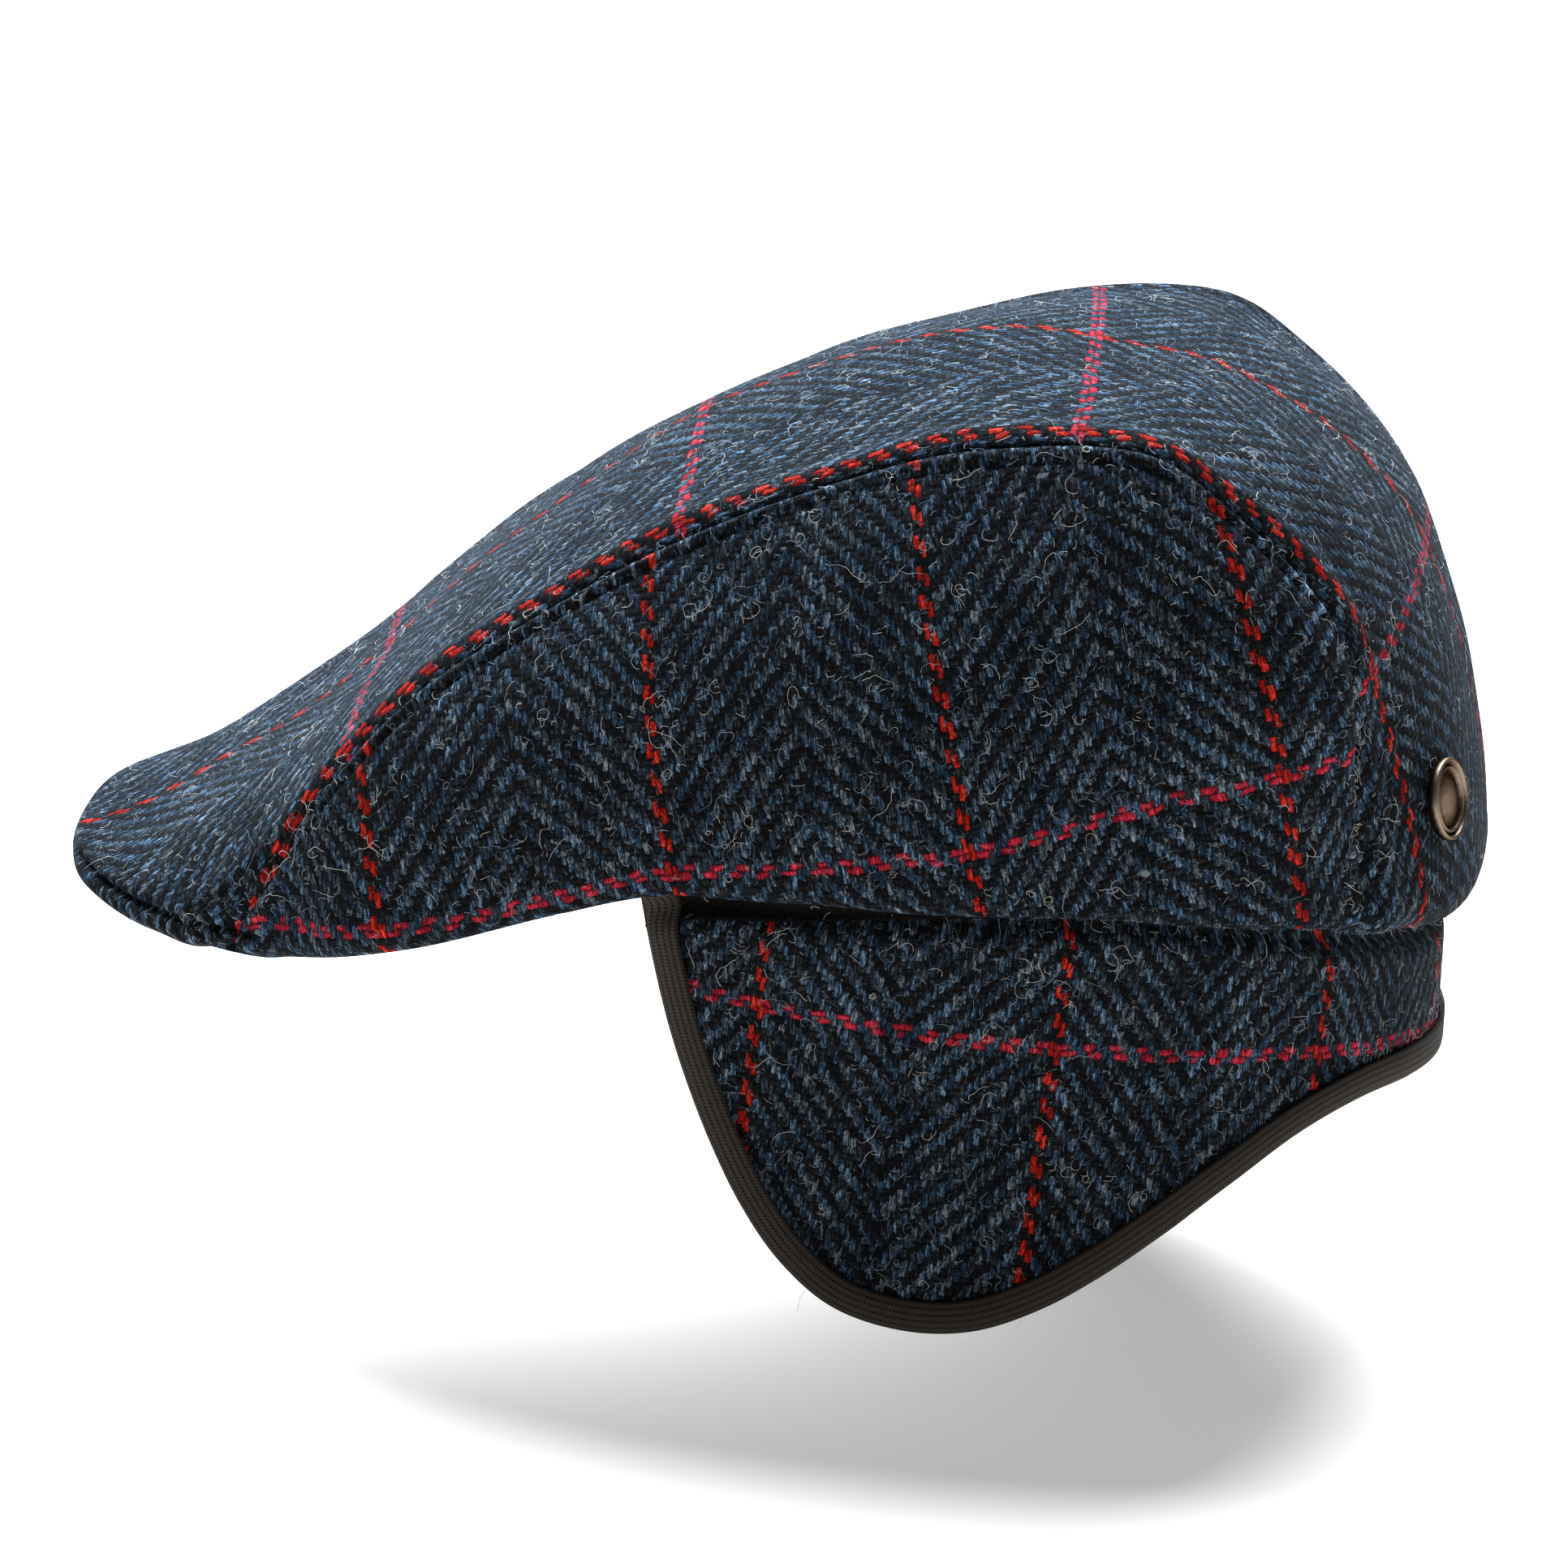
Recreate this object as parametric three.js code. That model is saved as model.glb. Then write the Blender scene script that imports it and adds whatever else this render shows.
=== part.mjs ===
// Flat cap with a folded-down earflap band, in millimetres.
// +X is the wearer's left, -Y the front and +Z up. The origin is the middle of the
// head opening, at the level of the side hem.
import * as THREE from 'three';

const { degToRad, clamp, lerp } = THREE.MathUtils;

// Walls: tweed with its interlining, the peak's board between two cloths, the doubled flap
const CROWN_WALL = 2.6;
const PEAK_WALL = 3;
const FLAP_WALL = 3;
const TAPE_WALL = 0.9;

// Left between pieces that are sewn together
const SEAM_GAP = 0.3;

// Plan of the earflap band's outer face, which follows the head
const HEAD_HALF_WIDTH = 82;
const HEAD_FRONT = 103;
const HEAD_BACK = 102;

// Ribs over the left half of the crown, front to back. Each one runs from the centre
// line (yc, zc) over the seam (xs, ys, zs) and down to the lower edge (xe, ye, ze).
// The top panel sweeps back and falls towards the seam by the two powers.
const RIBS = [
  { yc: -162.3, zc: -11.8, xs: 51, ys: -124, zs: -13.9, xe: 51, ye: -124, ze: -13.9, sweep: 2.7, fall: 2.2 },
  { yc: -148, zc: -7.4, xs: 53, ys: -119, zs: -7.8, xe: 54.5, ye: -119, ze: -13.9, sweep: 2.9, fall: 3 },
  { yc: -133, zc: 1, xs: 54.2, ys: -114, zs: -0.5, xe: 58, ye: -114, ze: -13.4, sweep: 3.2, fall: 4.5 },
  { yc: -118, zc: 10.6, xs: 55, ys: -107.5, zs: 9.5, xe: 62, ye: -107.5, ze: -12.8, sweep: 3.8, fall: 5 },
  { yc: -104.6, zc: 22, xs: 56, ys: -100.5, zs: 19.3, xe: 65.5, ye: -100, ze: -11.8, sweep: 3.6, fall: 4.6 },
  { yc: -84, zc: 40.5, xs: 57, ys: -84.5, zs: 34, xe: 73.3, ye: -80.5, ze: -8.3, sweep: 3, fall: 3.2 },
  { yc: -64, zc: 57, xs: 58.5, ys: -63, zs: 48.3, xe: 79.5, ye: -57, ze: -2.1, sweep: 2.4, fall: 2.4 },
  { yc: -42, zc: 72, xs: 59.7, ys: -40, zs: 60.8, xe: 84, ye: -35, ze: 3.6, sweep: 2, fall: 1.9 },
  { yc: -20, zc: 81.6, xs: 60, ys: -18, zs: 71.8, xe: 87.3, ye: -12, ze: 4, sweep: 2, fall: 1.6 },
  { yc: 2, zc: 88, xs: 60, ys: 3, zs: 79, xe: 89.2, ye: 11, ze: 4, sweep: 2, fall: 1.5 },
  { yc: 22, zc: 90, xs: 60, ys: 23, zs: 83, xe: 89.2, ye: 29, ze: 3.6, sweep: 2, fall: 1.8 },
  { yc: 42, zc: 88, xs: 60, ys: 41, zs: 84.4, xe: 86.2, ye: 44.5, ze: 3.2, sweep: 2, fall: 2.3 },
  { yc: 59, zc: 84, xs: 60, ys: 56, zs: 81, xe: 82, ye: 57, ze: 2.2, sweep: 2, fall: 2.6 },
  { yc: 75.5, zc: 75.6, xs: 59.5, ys: 70, zs: 70, xe: 76.5, ye: 68.5, ze: 0.8, sweep: 2.2, fall: 2.8 },
  { yc: 88.8, zc: 63, xs: 57.8, ys: 80.5, zs: 58.5, xe: 71, ye: 77, ze: -0.8, sweep: 2.2, fall: 2.6 },
  { yc: 97, zc: 48, xs: 55.3, ys: 87, zs: 45, xe: 65.8, ye: 83.4, ze: -2.2, sweep: 2.3, fall: 2.2 },
  { yc: 102.3, zc: 30.5, xs: 55, ys: 87.8, zs: 29, xe: 62, ye: 87.3, ze: -3.2, sweep: 2.6, fall: 2.2 },
  { yc: 105.8, zc: 11, xs: 55.7, ys: 89, zs: 12, xe: 59, ye: 90, ze: -4, sweep: 2.9, fall: 2.2 },
  { yc: 107.8, zc: -9.6, xs: 56, ys: 92.2, zs: -4.6, xe: 56, ye: 92.2, ze: -4.6, sweep: 3, fall: 2.2 },
];

// How full the side panel is below the seam: its slope there, and the pull of each end
const SIDE_START_SLOPE = degToRad(48);
const SIDE_START_PULL = 0.34;
const SIDE_END_PULL = 0.42;

// The lower edge, by the angle round the head from the front: its slope and radius as the
// cloth turns under, and how far the crown's cloth goes before the peak's begins.
const EDGE = [
  { angle: 0, slope: 44, radius: 4.3, turn: 6.4 },
  { angle: 14, slope: 48, radius: 4.3, turn: 6.8 },
  { angle: 26, slope: 60, radius: 4.8, turn: 7.6 },
  { angle: 38, slope: 80, radius: 4.4, turn: 8.8 },
  { angle: 60, slope: 88, radius: 4.2, turn: 13 },
  { angle: 110, slope: 88, radius: 4.2, turn: 13 },
  { angle: 140, slope: 88, radius: 5, turn: 13 },
  { angle: 180, slope: 88, radius: 8.5, turn: 13 },
];
const PEAK_END_ANGLE = 60;

// The soft peak has taken a set and hangs lower on the left: how steeply, and where that
// begins and is full
const PEAK_SET = 0.115;
const PEAK_SET_FROM = 45;
const PEAK_SET_FULL = 150;

// Level of the head line, where the peak or the turned-in hem meets the head
const HEAD_LINE_FRONT = -3;
const HEAD_LINE_SIDE = 3;
const HEAD_LINE_BACK = -8;

// Free edge of the flap band on the left, by the angle round the head from the front
const FLAP_EDGE = [
  { angle: 65.6, z: 10 },
  { angle: 65.9, z: -2 },
  { angle: 67, z: -13.6 },
  { angle: 68.6, z: -26 },
  { angle: 70.5, z: -36.8 },
  { angle: 73.2, z: -49 },
  { angle: 76.7, z: -61.4 },
  { angle: 81.2, z: -72.4 },
  { angle: 87.1, z: -80.8 },
  { angle: 94.8, z: -84.8 },
  { angle: 102.5, z: -84.8 },
  { angle: 110, z: -80.8 },
  { angle: 117, z: -74.8 },
  { angle: 124.5, z: -67.4 },
  { angle: 133, z: -59.2 },
  { angle: 143, z: -51.6 },
  { angle: 154, z: -48.2 },
  { angle: 167, z: -48.6 },
  { angle: 180, z: -49.8 },
];
const FLAP_TOP = 10;
const FLAP_LEAN = 0.055;

// Tape round that edge
const TAPE_WIDTH = 7;

// Badge, placed by the same two ways over the top panel as the ribs use
const BADGE_DIAMETER = 15.5;
const BADGE_THICKNESS = 2;
const BADGE_ALONG = 0.948;
const BADGE_ACROSS = 0.55;

// Steps in each mesh
const RIB_STEPS = 36;
const TOP_STEPS = 16;
const SIDE_STEPS = 8;
const TURN_STEPS = 4;
const PEAK_STEPS = 5;
const FLAP_STEPS = 34;
const FLAP_ROWS = 6;
const BADGE_STEPS = 24;

const curveThrough = (rows, x, y, z) =>
  new THREE.CatmullRomCurve3(rows.map((row) => new THREE.Vector3(row[x] ?? 0, row[y], row[z])),
    false, 'catmullrom', 0.5);
const POWER_LINE = curveThrough(RIBS, 'none', 'sweep', 'fall');
const CENTRE_LINE = curveThrough(RIBS, 'none', 'yc', 'zc');
const SEAM_LINE = curveThrough(RIBS, 'xs', 'ys', 'zs');
const EDGE_LINE = curveThrough(RIBS, 'xe', 'ye', 'ze');
const FLAP_LINE = curveThrough(FLAP_EDGE, 'none', 'angle', 'z');

// Angle in degrees round the head, from the front, of a point in plan
function headAngle(point) {
  const length = point.y < 0 ? HEAD_FRONT : HEAD_BACK;
  return Math.atan2(Math.abs(point.x) / HEAD_HALF_WIDTH, -point.y / length) * 180 / Math.PI;
}

// Point on the band's outer face, moved out by a distance
function headPoint(angle, z, out = 0) {
  const turn = degToRad(angle);
  const length = Math.cos(turn) > 0 ? HEAD_FRONT : HEAD_BACK;
  const x = HEAD_HALF_WIDTH * Math.sin(turn);
  const y = -length * Math.cos(turn);
  const normal = new THREE.Vector2(x / HEAD_HALF_WIDTH ** 2, y / length ** 2).normalize();
  return new THREE.Vector3(x + out * normal.x, y + out * normal.y, z);
}

// Value of one column of the EDGE table at an angle
function edgeValue(angle, column) {
  const next = EDGE.findIndex((row, i) => i > 0 && angle <= row.angle);
  const b = EDGE[next < 0 ? EDGE.length - 1 : next];
  const a = EDGE[(next < 0 ? EDGE.length - 1 : next) - 1];
  const part = THREE.MathUtils.smoothstep(angle, a.angle, b.angle);
  return lerp(a[column], b[column], part);
}

// Top panel: across is -1 at the right seam, 0 on the centre line and 1 at the left seam
function topPoint(along, across) {
  const centre = CENTRE_LINE.getPoint(along);
  const seam = SEAM_LINE.getPoint(along);
  const power = POWER_LINE.getPoint(along);
  const w = Math.abs(across);
  return new THREE.Vector3(
    across * seam.x,
    lerp(centre.y, seam.y, w ** power.y),
    lerp(centre.z, seam.z, w ** power.z),
  );
}

// Whole lower edge of the left half: 0 to 1 along the peak's front, 1 to 2 along the
// side panel and 2 to 3 along the back of the top panel
function edgeStart(way) {
  if (way < 1) return topPoint(0, way);
  if (way <= 2) return EDGE_LINE.getPoint(way - 1);
  return topPoint(1, 3 - way);
}

// The lower edge at one place: where it starts to turn under, which way is out, how
// round it is, and the point on the head line that it goes to
function edgeAt(way) {
  const step = 0.01;
  const start = edgeStart(way);
  const before = edgeStart(Math.max(way - step, 0));
  const after = edgeStart(Math.min(way + step, 3));
  const tangent = new THREE.Vector3().subVectors(after, before).setZ(0).normalize();
  if (way === 0 || way === 3) tangent.set(way === 0 ? 1 : -1, 0, 0);
  const out = new THREE.Vector3(tangent.y, -tangent.x, 0);
  const angle = headAngle(start);
  const slope = degToRad(edgeValue(angle, 'slope'));
  const radius = edgeValue(angle, 'radius');
  const arc = radius * (Math.PI - slope);
  const level = angle < 90
    ? lerp(HEAD_LINE_FRONT, HEAD_LINE_SIDE, THREE.MathUtils.smoothstep(angle, 0, 60))
    : lerp(HEAD_LINE_SIDE, HEAD_LINE_BACK, THREE.MathUtils.smoothstep(angle, 90, 180));
  const clear = SEAM_GAP + 1.3 * (1 - THREE.MathUtils.smoothstep(angle, 72, 80));
  const head = headPoint(angle, level, clear);
  const edge = { start, out, slope, radius, arc, head, angle };
  edge.length = arc + turnUnder(edge, arc).distanceTo(head);
  edge.crownTurn = angle > PEAK_END_ANGLE ? edge.length : edgeValue(angle, 'turn');
  return edge;
}

// Point a distance round the lower edge: first on its round, then straight to the head line
function turnUnder(edge, distance) {
  const { start, out, slope, radius, arc } = edge;
  const turn = slope + Math.min(distance, arc) / radius;
  const point = start.clone()
    .addScaledVector(out, radius * (Math.sin(turn) - Math.sin(slope)))
    .add(new THREE.Vector3(0, 0, radius * (Math.cos(turn) - Math.cos(slope))));
  if (distance <= arc) return point;
  return point.lerp(edge.head, (distance - arc) / (edge.length - arc));
}

// Way the cloth faces there
function turnNormal(edge, distance) {
  const turn = edge.slope + Math.min(distance, edge.arc) / edge.radius;
  return edge.out.clone().multiplyScalar(Math.sin(turn)).setZ(Math.cos(turn));
}

// Side panel: down is 0 at the seam and 1 at the lower edge
function sidePoint(along, down) {
  const seam = SEAM_LINE.getPoint(along);
  const edge = edgeAt(1 + along);
  const drop = seam.distanceTo(edge.start);
  const leave = edge.out.clone().multiplyScalar(Math.cos(SIDE_START_SLOPE))
    .setZ(-Math.sin(SIDE_START_SLOPE)).multiplyScalar(drop * SIDE_START_PULL);
  const arrive = edge.out.clone().multiplyScalar(-Math.cos(edge.slope))
    .setZ(Math.sin(edge.slope)).multiplyScalar(drop * SIDE_END_PULL);
  return new THREE.CubicBezierCurve3(seam, seam.clone().add(leave),
    edge.start.clone().add(arrive), edge.start).getPoint(down);
}

// Unit normal at each point of a grid whose rows run back and whose columns run outwards
function gridNormals(grid) {
  return grid.map((row, i) => row.map((point, j) => {
    const back = new THREE.Vector3().subVectors(
      grid[Math.min(i + 1, grid.length - 1)][j], grid[Math.max(i - 1, 0)][j]);
    const across = new THREE.Vector3().subVectors(
      row[Math.min(j + 1, row.length - 1)], row[Math.max(j - 1, 0)]);
    return across.cross(back).normalize();
  }));
}

// Moves the border points of a grid inwards, to leave the gap of a seam
function drawIn(grid, distance, sides) {
  const pull = (point, inner) => {
    const way = new THREE.Vector3().subVectors(inner, point);
    return way.length() < distance ? point.clone() : point.clone().addScaledVector(way.normalize(), distance);
  };
  const last = grid.length - 1;
  const end = grid[0].length - 1;
  return grid.map((row, i) => row.map((point, j) => {
    let moved = point;
    if (sides.includes('start') && j === 0) moved = pull(moved, row[1]);
    if (sides.includes('end') && j === end) moved = pull(moved, row[end - 1]);
    if (sides.includes('front') && i === 0) moved = pull(moved, grid[1][j]);
    if (sides.includes('back') && i === last) moved = pull(moved, grid[last - 1][j]);
    return moved;
  }));
}

// A point of the straight cap, moved down or up by the peak's set
function withSet(point) {
  const slope = PEAK_SET * THREE.MathUtils.smoothstep(-point.y, PEAK_SET_FROM, PEAK_SET_FULL);
  return [point.x, point.y, point.z - slope * point.x];
}

// Closed mesh from faces given as loops of points; equal points become one corner
function closedGeometry(faces) {
  const corners = new Map();
  const positions = [];
  const index = [];
  const cornerOf = (point) => {
    const key = point.toArray().map((value) => Math.round(value * 1e4)).join();
    if (!corners.has(key)) {
      corners.set(key, positions.length / 3);
      positions.push(...withSet(point));
    }
    return corners.get(key);
  };
  const addTriangle = (a, b, c) => {
    if (a !== b && b !== c && c !== a) index.push(a, b, c);
  };
  for (const face of faces) {
    const shorter = face[0].distanceTo(face[2]) <= face[1].distanceTo(face[3]);
    const [a, b, c, d] = (shorter ? face : [...face.slice(1), face[0]]).map(cornerOf);
    addTriangle(a, b, c);
    addTriangle(a, c, d);
  }
  const geometry = new THREE.BufferGeometry();
  geometry.setAttribute('position', new THREE.Float32BufferAttribute(positions, 3));
  geometry.setIndex(index);
  geometry.computeVertexNormals();
  return geometry;
}

// Cloth wall between an outer and an inner grid
function wallGeometry(outer, inner) {
  const faces = [];
  const last = outer.length - 1;
  const end = outer[0].length - 1;
  for (let i = 0; i < last; i += 1) {
    for (let j = 0; j < end; j += 1) {
      faces.push([outer[i][j], outer[i][j + 1], outer[i + 1][j + 1], outer[i + 1][j]]);
      faces.push([inner[i][j], inner[i + 1][j], inner[i + 1][j + 1], inner[i][j + 1]]);
    }
    faces.push([outer[i][0], outer[i + 1][0], inner[i + 1][0], inner[i][0]]);
    faces.push([outer[i + 1][end], outer[i][end], inner[i][end], inner[i + 1][end]]);
  }
  for (let j = 0; j < end; j += 1) {
    faces.push([outer[0][j + 1], outer[0][j], inner[0][j], inner[0][j + 1]]);
    faces.push([outer[last][j], outer[last][j + 1], inner[last][j + 1], inner[last][j]]);
  }
  return closedGeometry(faces);
}

const offsetGrid = (grid, normals, distance) =>
  grid.map((row, i) => row.map((point, j) => point.clone().addScaledVector(normals[i][j], distance)));

const mirrorGrid = (grid) =>
  grid.map((row) => row.map((point) => point.clone().setX(-point.x)).reverse());

const fractions = (steps) => Array.from({ length: steps + 1 }, (_, i) => i / steps);

// Rows of the top panel, from the end of its turn under the peak's front to the end of
// its turned-in back hem
function topGrid() {
  const across = fractions(TOP_STEPS).map((part) => 2 * part - 1);
  const turnRow = (way, part) => across.map((w) => {
    const edge = edgeAt(way(Math.abs(w)));
    const point = turnUnder(edge, part * edge.crownTurn);
    return point.setX(Math.sign(w) * point.x);
  });
  const turns = fractions(TURN_STEPS).slice(1);
  return [
    ...turns.toReversed().map((part) => turnRow((w) => w, part)),
    ...fractions(RIB_STEPS).map((along) => across.map((w) => topPoint(along, w))),
    ...turns.map((part) => turnRow((w) => 3 - w, part)),
  ];
}

// Rows of the left side panel, each from the seam to the end of its turned-in hem
function sideGrid() {
  return fractions(RIB_STEPS).map((along) => {
    const edge = edgeAt(1 + along);
    return [
      ...fractions(SIDE_STEPS).map((down) => sidePoint(along, down)),
      ...fractions(TURN_STEPS).slice(1).map((part) => turnUnder(edge, part * edge.crownTurn)),
    ];
  });
}

// Makes two normals the same, where two walls meet
function shareNormal(a, b) {
  a.add(b).normalize();
  b.copy(a);
}

// Outer and inner grids of the top panel and of the left side panel. They share the seam
// and the ends of the turned-in edge, so their normals are made the same there.
function crownWalls() {
  const top = topGrid();
  const side = sideGrid();
  const topNormals = gridNormals(top);
  const sideNormals = gridNormals(side);
  const firstRow = TURN_STEPS;
  const lastRow = TURN_STEPS + RIB_STEPS;
  for (let k = 1; k <= TURN_STEPS; k += 1) {
    const part = k / TURN_STEPS;
    for (let j = 0; j <= TOP_STEPS; j += 1) {
      const w = 2 * j / TOP_STEPS - 1;
      for (const [row, way] of [[firstRow - k, Math.abs(w)], [lastRow + k, 3 - Math.abs(w)]]) {
        const edge = edgeAt(way);
        const normal = turnNormal(edge, part * edge.crownTurn);
        topNormals[row][j] = normal.setX(Math.sign(w) * normal.x);
      }
    }
    for (let i = 0; i <= RIB_STEPS; i += 1) {
      const edge = edgeAt(1 + i / RIB_STEPS);
      sideNormals[i][SIDE_STEPS + k] = turnNormal(edge, part * edge.crownTurn);
    }
  }
  for (let i = 0; i <= RIB_STEPS; i += 1) {
    const end = i === 0 || i === RIB_STEPS;
    if (end) sideNormals[i][0] = turnNormal(edgeAt(i === 0 ? 1 : 2), 0);
    shareNormal(topNormals[firstRow + i][TOP_STEPS], sideNormals[i][0]);
    if (end) sideNormals[i].fill(sideNormals[i][0], 0, SIDE_STEPS + 1);
  }
  topNormals.forEach((row) => row[0].copy(row[TOP_STEPS]).setX(-row[TOP_STEPS].x));
  const half = SEAM_GAP / 2;
  const wall = (grid, normals, sides) => [
    drawIn(grid, half, sides),
    drawIn(offsetGrid(grid, normals, -CROWN_WALL), half, sides),
  ];
  return {
    top: wall(top, topNormals, ['start', 'end']),
    side: wall(side, sideNormals, ['start', 'front', 'back']),
  };
}

// Outer and inner grids of the peak's lower half, from the crown's turned edge to the
// head line, with rows from the right to the left
function peakWalls() {
  const ways = [
    ...fractions(TOP_STEPS / 2),
    ...fractions(RIB_STEPS).slice(1).map((part) => 1 + part)
      .filter((way) => edgeAt(way).angle <= PEAK_END_ANGLE),
  ];
  const grid = (side, thickness) => ways.map((way) => {
    const edge = edgeAt(way);
    const from = edge.crownTurn + 2 * SEAM_GAP;
    return fractions(PEAK_STEPS).map((part) => {
      const distance = lerp(from, edge.length, part ** 1.5);
      const point = turnUnder(edge, distance).addScaledVector(turnNormal(edge, distance), -thickness);
      return point.setX(side * point.x);
    });
  });
  return [0, PEAK_WALL].map((thickness) =>
    [...grid(-1, thickness).slice(1).toReversed(), ...grid(1, thickness)]);
}

// Millimetres along the band for one degree round the head
const degreeLength = (angle) => headPoint(angle - 0.5, 0).distanceTo(headPoint(angle + 0.5, 0));

// Point of the band: inset is the distance from its free edge, out the height over its face
function bandPoint(part, inset, out) {
  const at = FLAP_LINE.getPoint(clamp(part, 0, 1));
  const ahead = FLAP_LINE.getPoint(clamp(part + 0.01, 0, 1));
  const behind = FLAP_LINE.getPoint(clamp(part - 0.01, 0, 1));
  const scale = degreeLength(at.y);
  const tangent = new THREE.Vector2((ahead.y - behind.y) * scale, ahead.z - behind.z).normalize();
  if (part >= 1) tangent.set(1, 0);
  return leanPoint(at.y - inset * tangent.y / scale, at.z + inset * tangent.x, out);
}

// The band leans in towards the neck as it hangs
const leanPoint = (angle, z, out) => headPoint(angle, z, out + FLAP_LEAN * Math.min(z, 0));

const BAND_INSET = TAPE_WALL + 2 * SEAM_GAP;

// Columns of the band, from the left temple round the back to the right temple
function bandGrid(out) {
  const half = fractions(FLAP_STEPS).map((part) => {
    const foot = FLAP_LINE.getPoint(part);
    const low = bandPoint(part, BAND_INSET, out);
    const lowAngle = headAngle(bandPoint(part, BAND_INSET, 0));
    const topAngle = lerp(FLAP_EDGE[0].angle + 1.1, 180, part ** 1.15);
    return fractions(FLAP_ROWS).map((down) => {
      if (down === 1) return low;
      const angle = lerp(topAngle, part === 1 ? 180 : lowAngle, down);
      return leanPoint(angle, lerp(FLAP_TOP, low.z, down), out);
    });
  });
  const right = half.slice(0, -1).toReversed().map((column) => column.map((p) => p.clone().setX(-p.x)));
  return [...half, ...right];
}

// Tape folded round the free edge: its section as inset and height over the band's face
const TAPE_SECTION = [
  [TAPE_WIDTH, SEAM_GAP + TAPE_WALL],
  [1, SEAM_GAP + TAPE_WALL],
  [0, SEAM_GAP],
  [0, -FLAP_WALL - SEAM_GAP],
  [1, -FLAP_WALL - SEAM_GAP - TAPE_WALL],
  [TAPE_WIDTH, -FLAP_WALL - SEAM_GAP - TAPE_WALL],
  [TAPE_WIDTH, -FLAP_WALL - SEAM_GAP],
  [BAND_INSET - SEAM_GAP, -FLAP_WALL - SEAM_GAP],
  [BAND_INSET - SEAM_GAP, SEAM_GAP],
  [TAPE_WIDTH, SEAM_GAP],
];

function tapeGeometry() {
  const half = fractions(FLAP_STEPS).map((part) =>
    TAPE_SECTION.map(([inset, out]) => bandPoint(part, inset, out)));
  const rings = [
    ...half,
    ...half.slice(0, -1).toReversed().map((ring) => ring.map((p) => p.clone().setX(-p.x))),
  ];
  const count = TAPE_SECTION.length;
  const faces = [];
  for (let i = 0; i < rings.length - 1; i += 1) {
    for (let k = 0; k < count; k += 1) {
      const next = (k + 1) % count;
      faces.push([rings[i][k], rings[i][next], rings[i + 1][next], rings[i + 1][k]]);
    }
  }
  for (const [ring, flip] of [[rings[0], false], [rings.at(-1), true]]) {
    const caps = [[9, 0, 1, 8], [8, 1, 2, 3], [8, 3, 4, 7], [7, 4, 5, 6]];
    for (const cap of caps) {
      const loop = cap.map((k) => ring[k]);
      faces.push(flip ? loop : loop.reverse());
    }
  }
  return closedGeometry(faces);
}

// Round badge with a raised rim and a lower step inside it
function badgeGeometry() {
  const radius = BADGE_DIAMETER / 2;
  const profile = [
    [0, 0], [radius - 0.4, 0], [radius, 0.5], [radius, 1.5], [radius - 0.5, BADGE_THICKNESS],
    [radius - 1.2, BADGE_THICKNESS], [radius - 1.6, 1.5], [radius - 2.2, 1.5],
    [radius - 2.6, 1.2], [0, 1.6],
  ];
  return new THREE.LatheGeometry(profile.map(([x, y]) => new THREE.Vector2(x, y)), BADGE_STEPS);
}

// Lays a mesh on the top panel, its +Y facing out of the cloth
function layOnTop(mesh, along, across) {
  const step = 0.01;
  const point = topPoint(along, across);
  const right = topPoint(along, across + step).sub(topPoint(along, across - step));
  const back = topPoint(along + step, across).sub(topPoint(along - step, across));
  const normal = right.cross(back).normalize();
  mesh.position.copy(point).addScaledVector(normal, SEAM_GAP);
  mesh.quaternion.setFromUnitVectors(new THREE.Vector3(0, 1, 0), normal);
  return mesh;
}

function namedMesh(name, geometry, color, roughness, metalness = 0) {
  const material = new THREE.MeshStandardMaterial({ color, roughness, metalness });
  const mesh = new THREE.Mesh(geometry, material);
  mesh.name = name;
  return mesh;
}

const TWEED = 0x3a4657;
const TAPE_COLOUR = 0x1d1a19;
const PEWTER = 0x7d746c;

const crown = crownWalls();

const group = new THREE.Group();
group.add(
  namedMesh('top_panel', wallGeometry(...crown.top), TWEED, 0.95),
  namedMesh('side_panel_left', wallGeometry(...crown.side), TWEED, 0.95),
  namedMesh('side_panel_right', wallGeometry(...crown.side.map(mirrorGrid)), TWEED, 0.95),
  namedMesh('peak_underside', wallGeometry(...peakWalls()), TWEED, 0.95),
  namedMesh('earflap_band', wallGeometry(bandGrid(0), bandGrid(-FLAP_WALL)), TWEED, 0.95),
  namedMesh('binding', tapeGeometry(), TAPE_COLOUR, 0.9),
  layOnTop(namedMesh('badge', badgeGeometry(), PEWTER, 0.35, 1), BADGE_ALONG, BADGE_ACROSS),
);

export default group;
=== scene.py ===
"""Flat cap with a folded-down earflap band, in herringbone tweed with a red overcheck.

Sizes are in millimetres and become metres where a mesh is made. +X is the wearer's left,
-Y the front and +Z up, with the origin in the middle of the head opening.
"""

import math
from collections import namedtuple

import bmesh
import bpy
import numpy as np
from mathutils import Matrix, Vector


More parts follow.
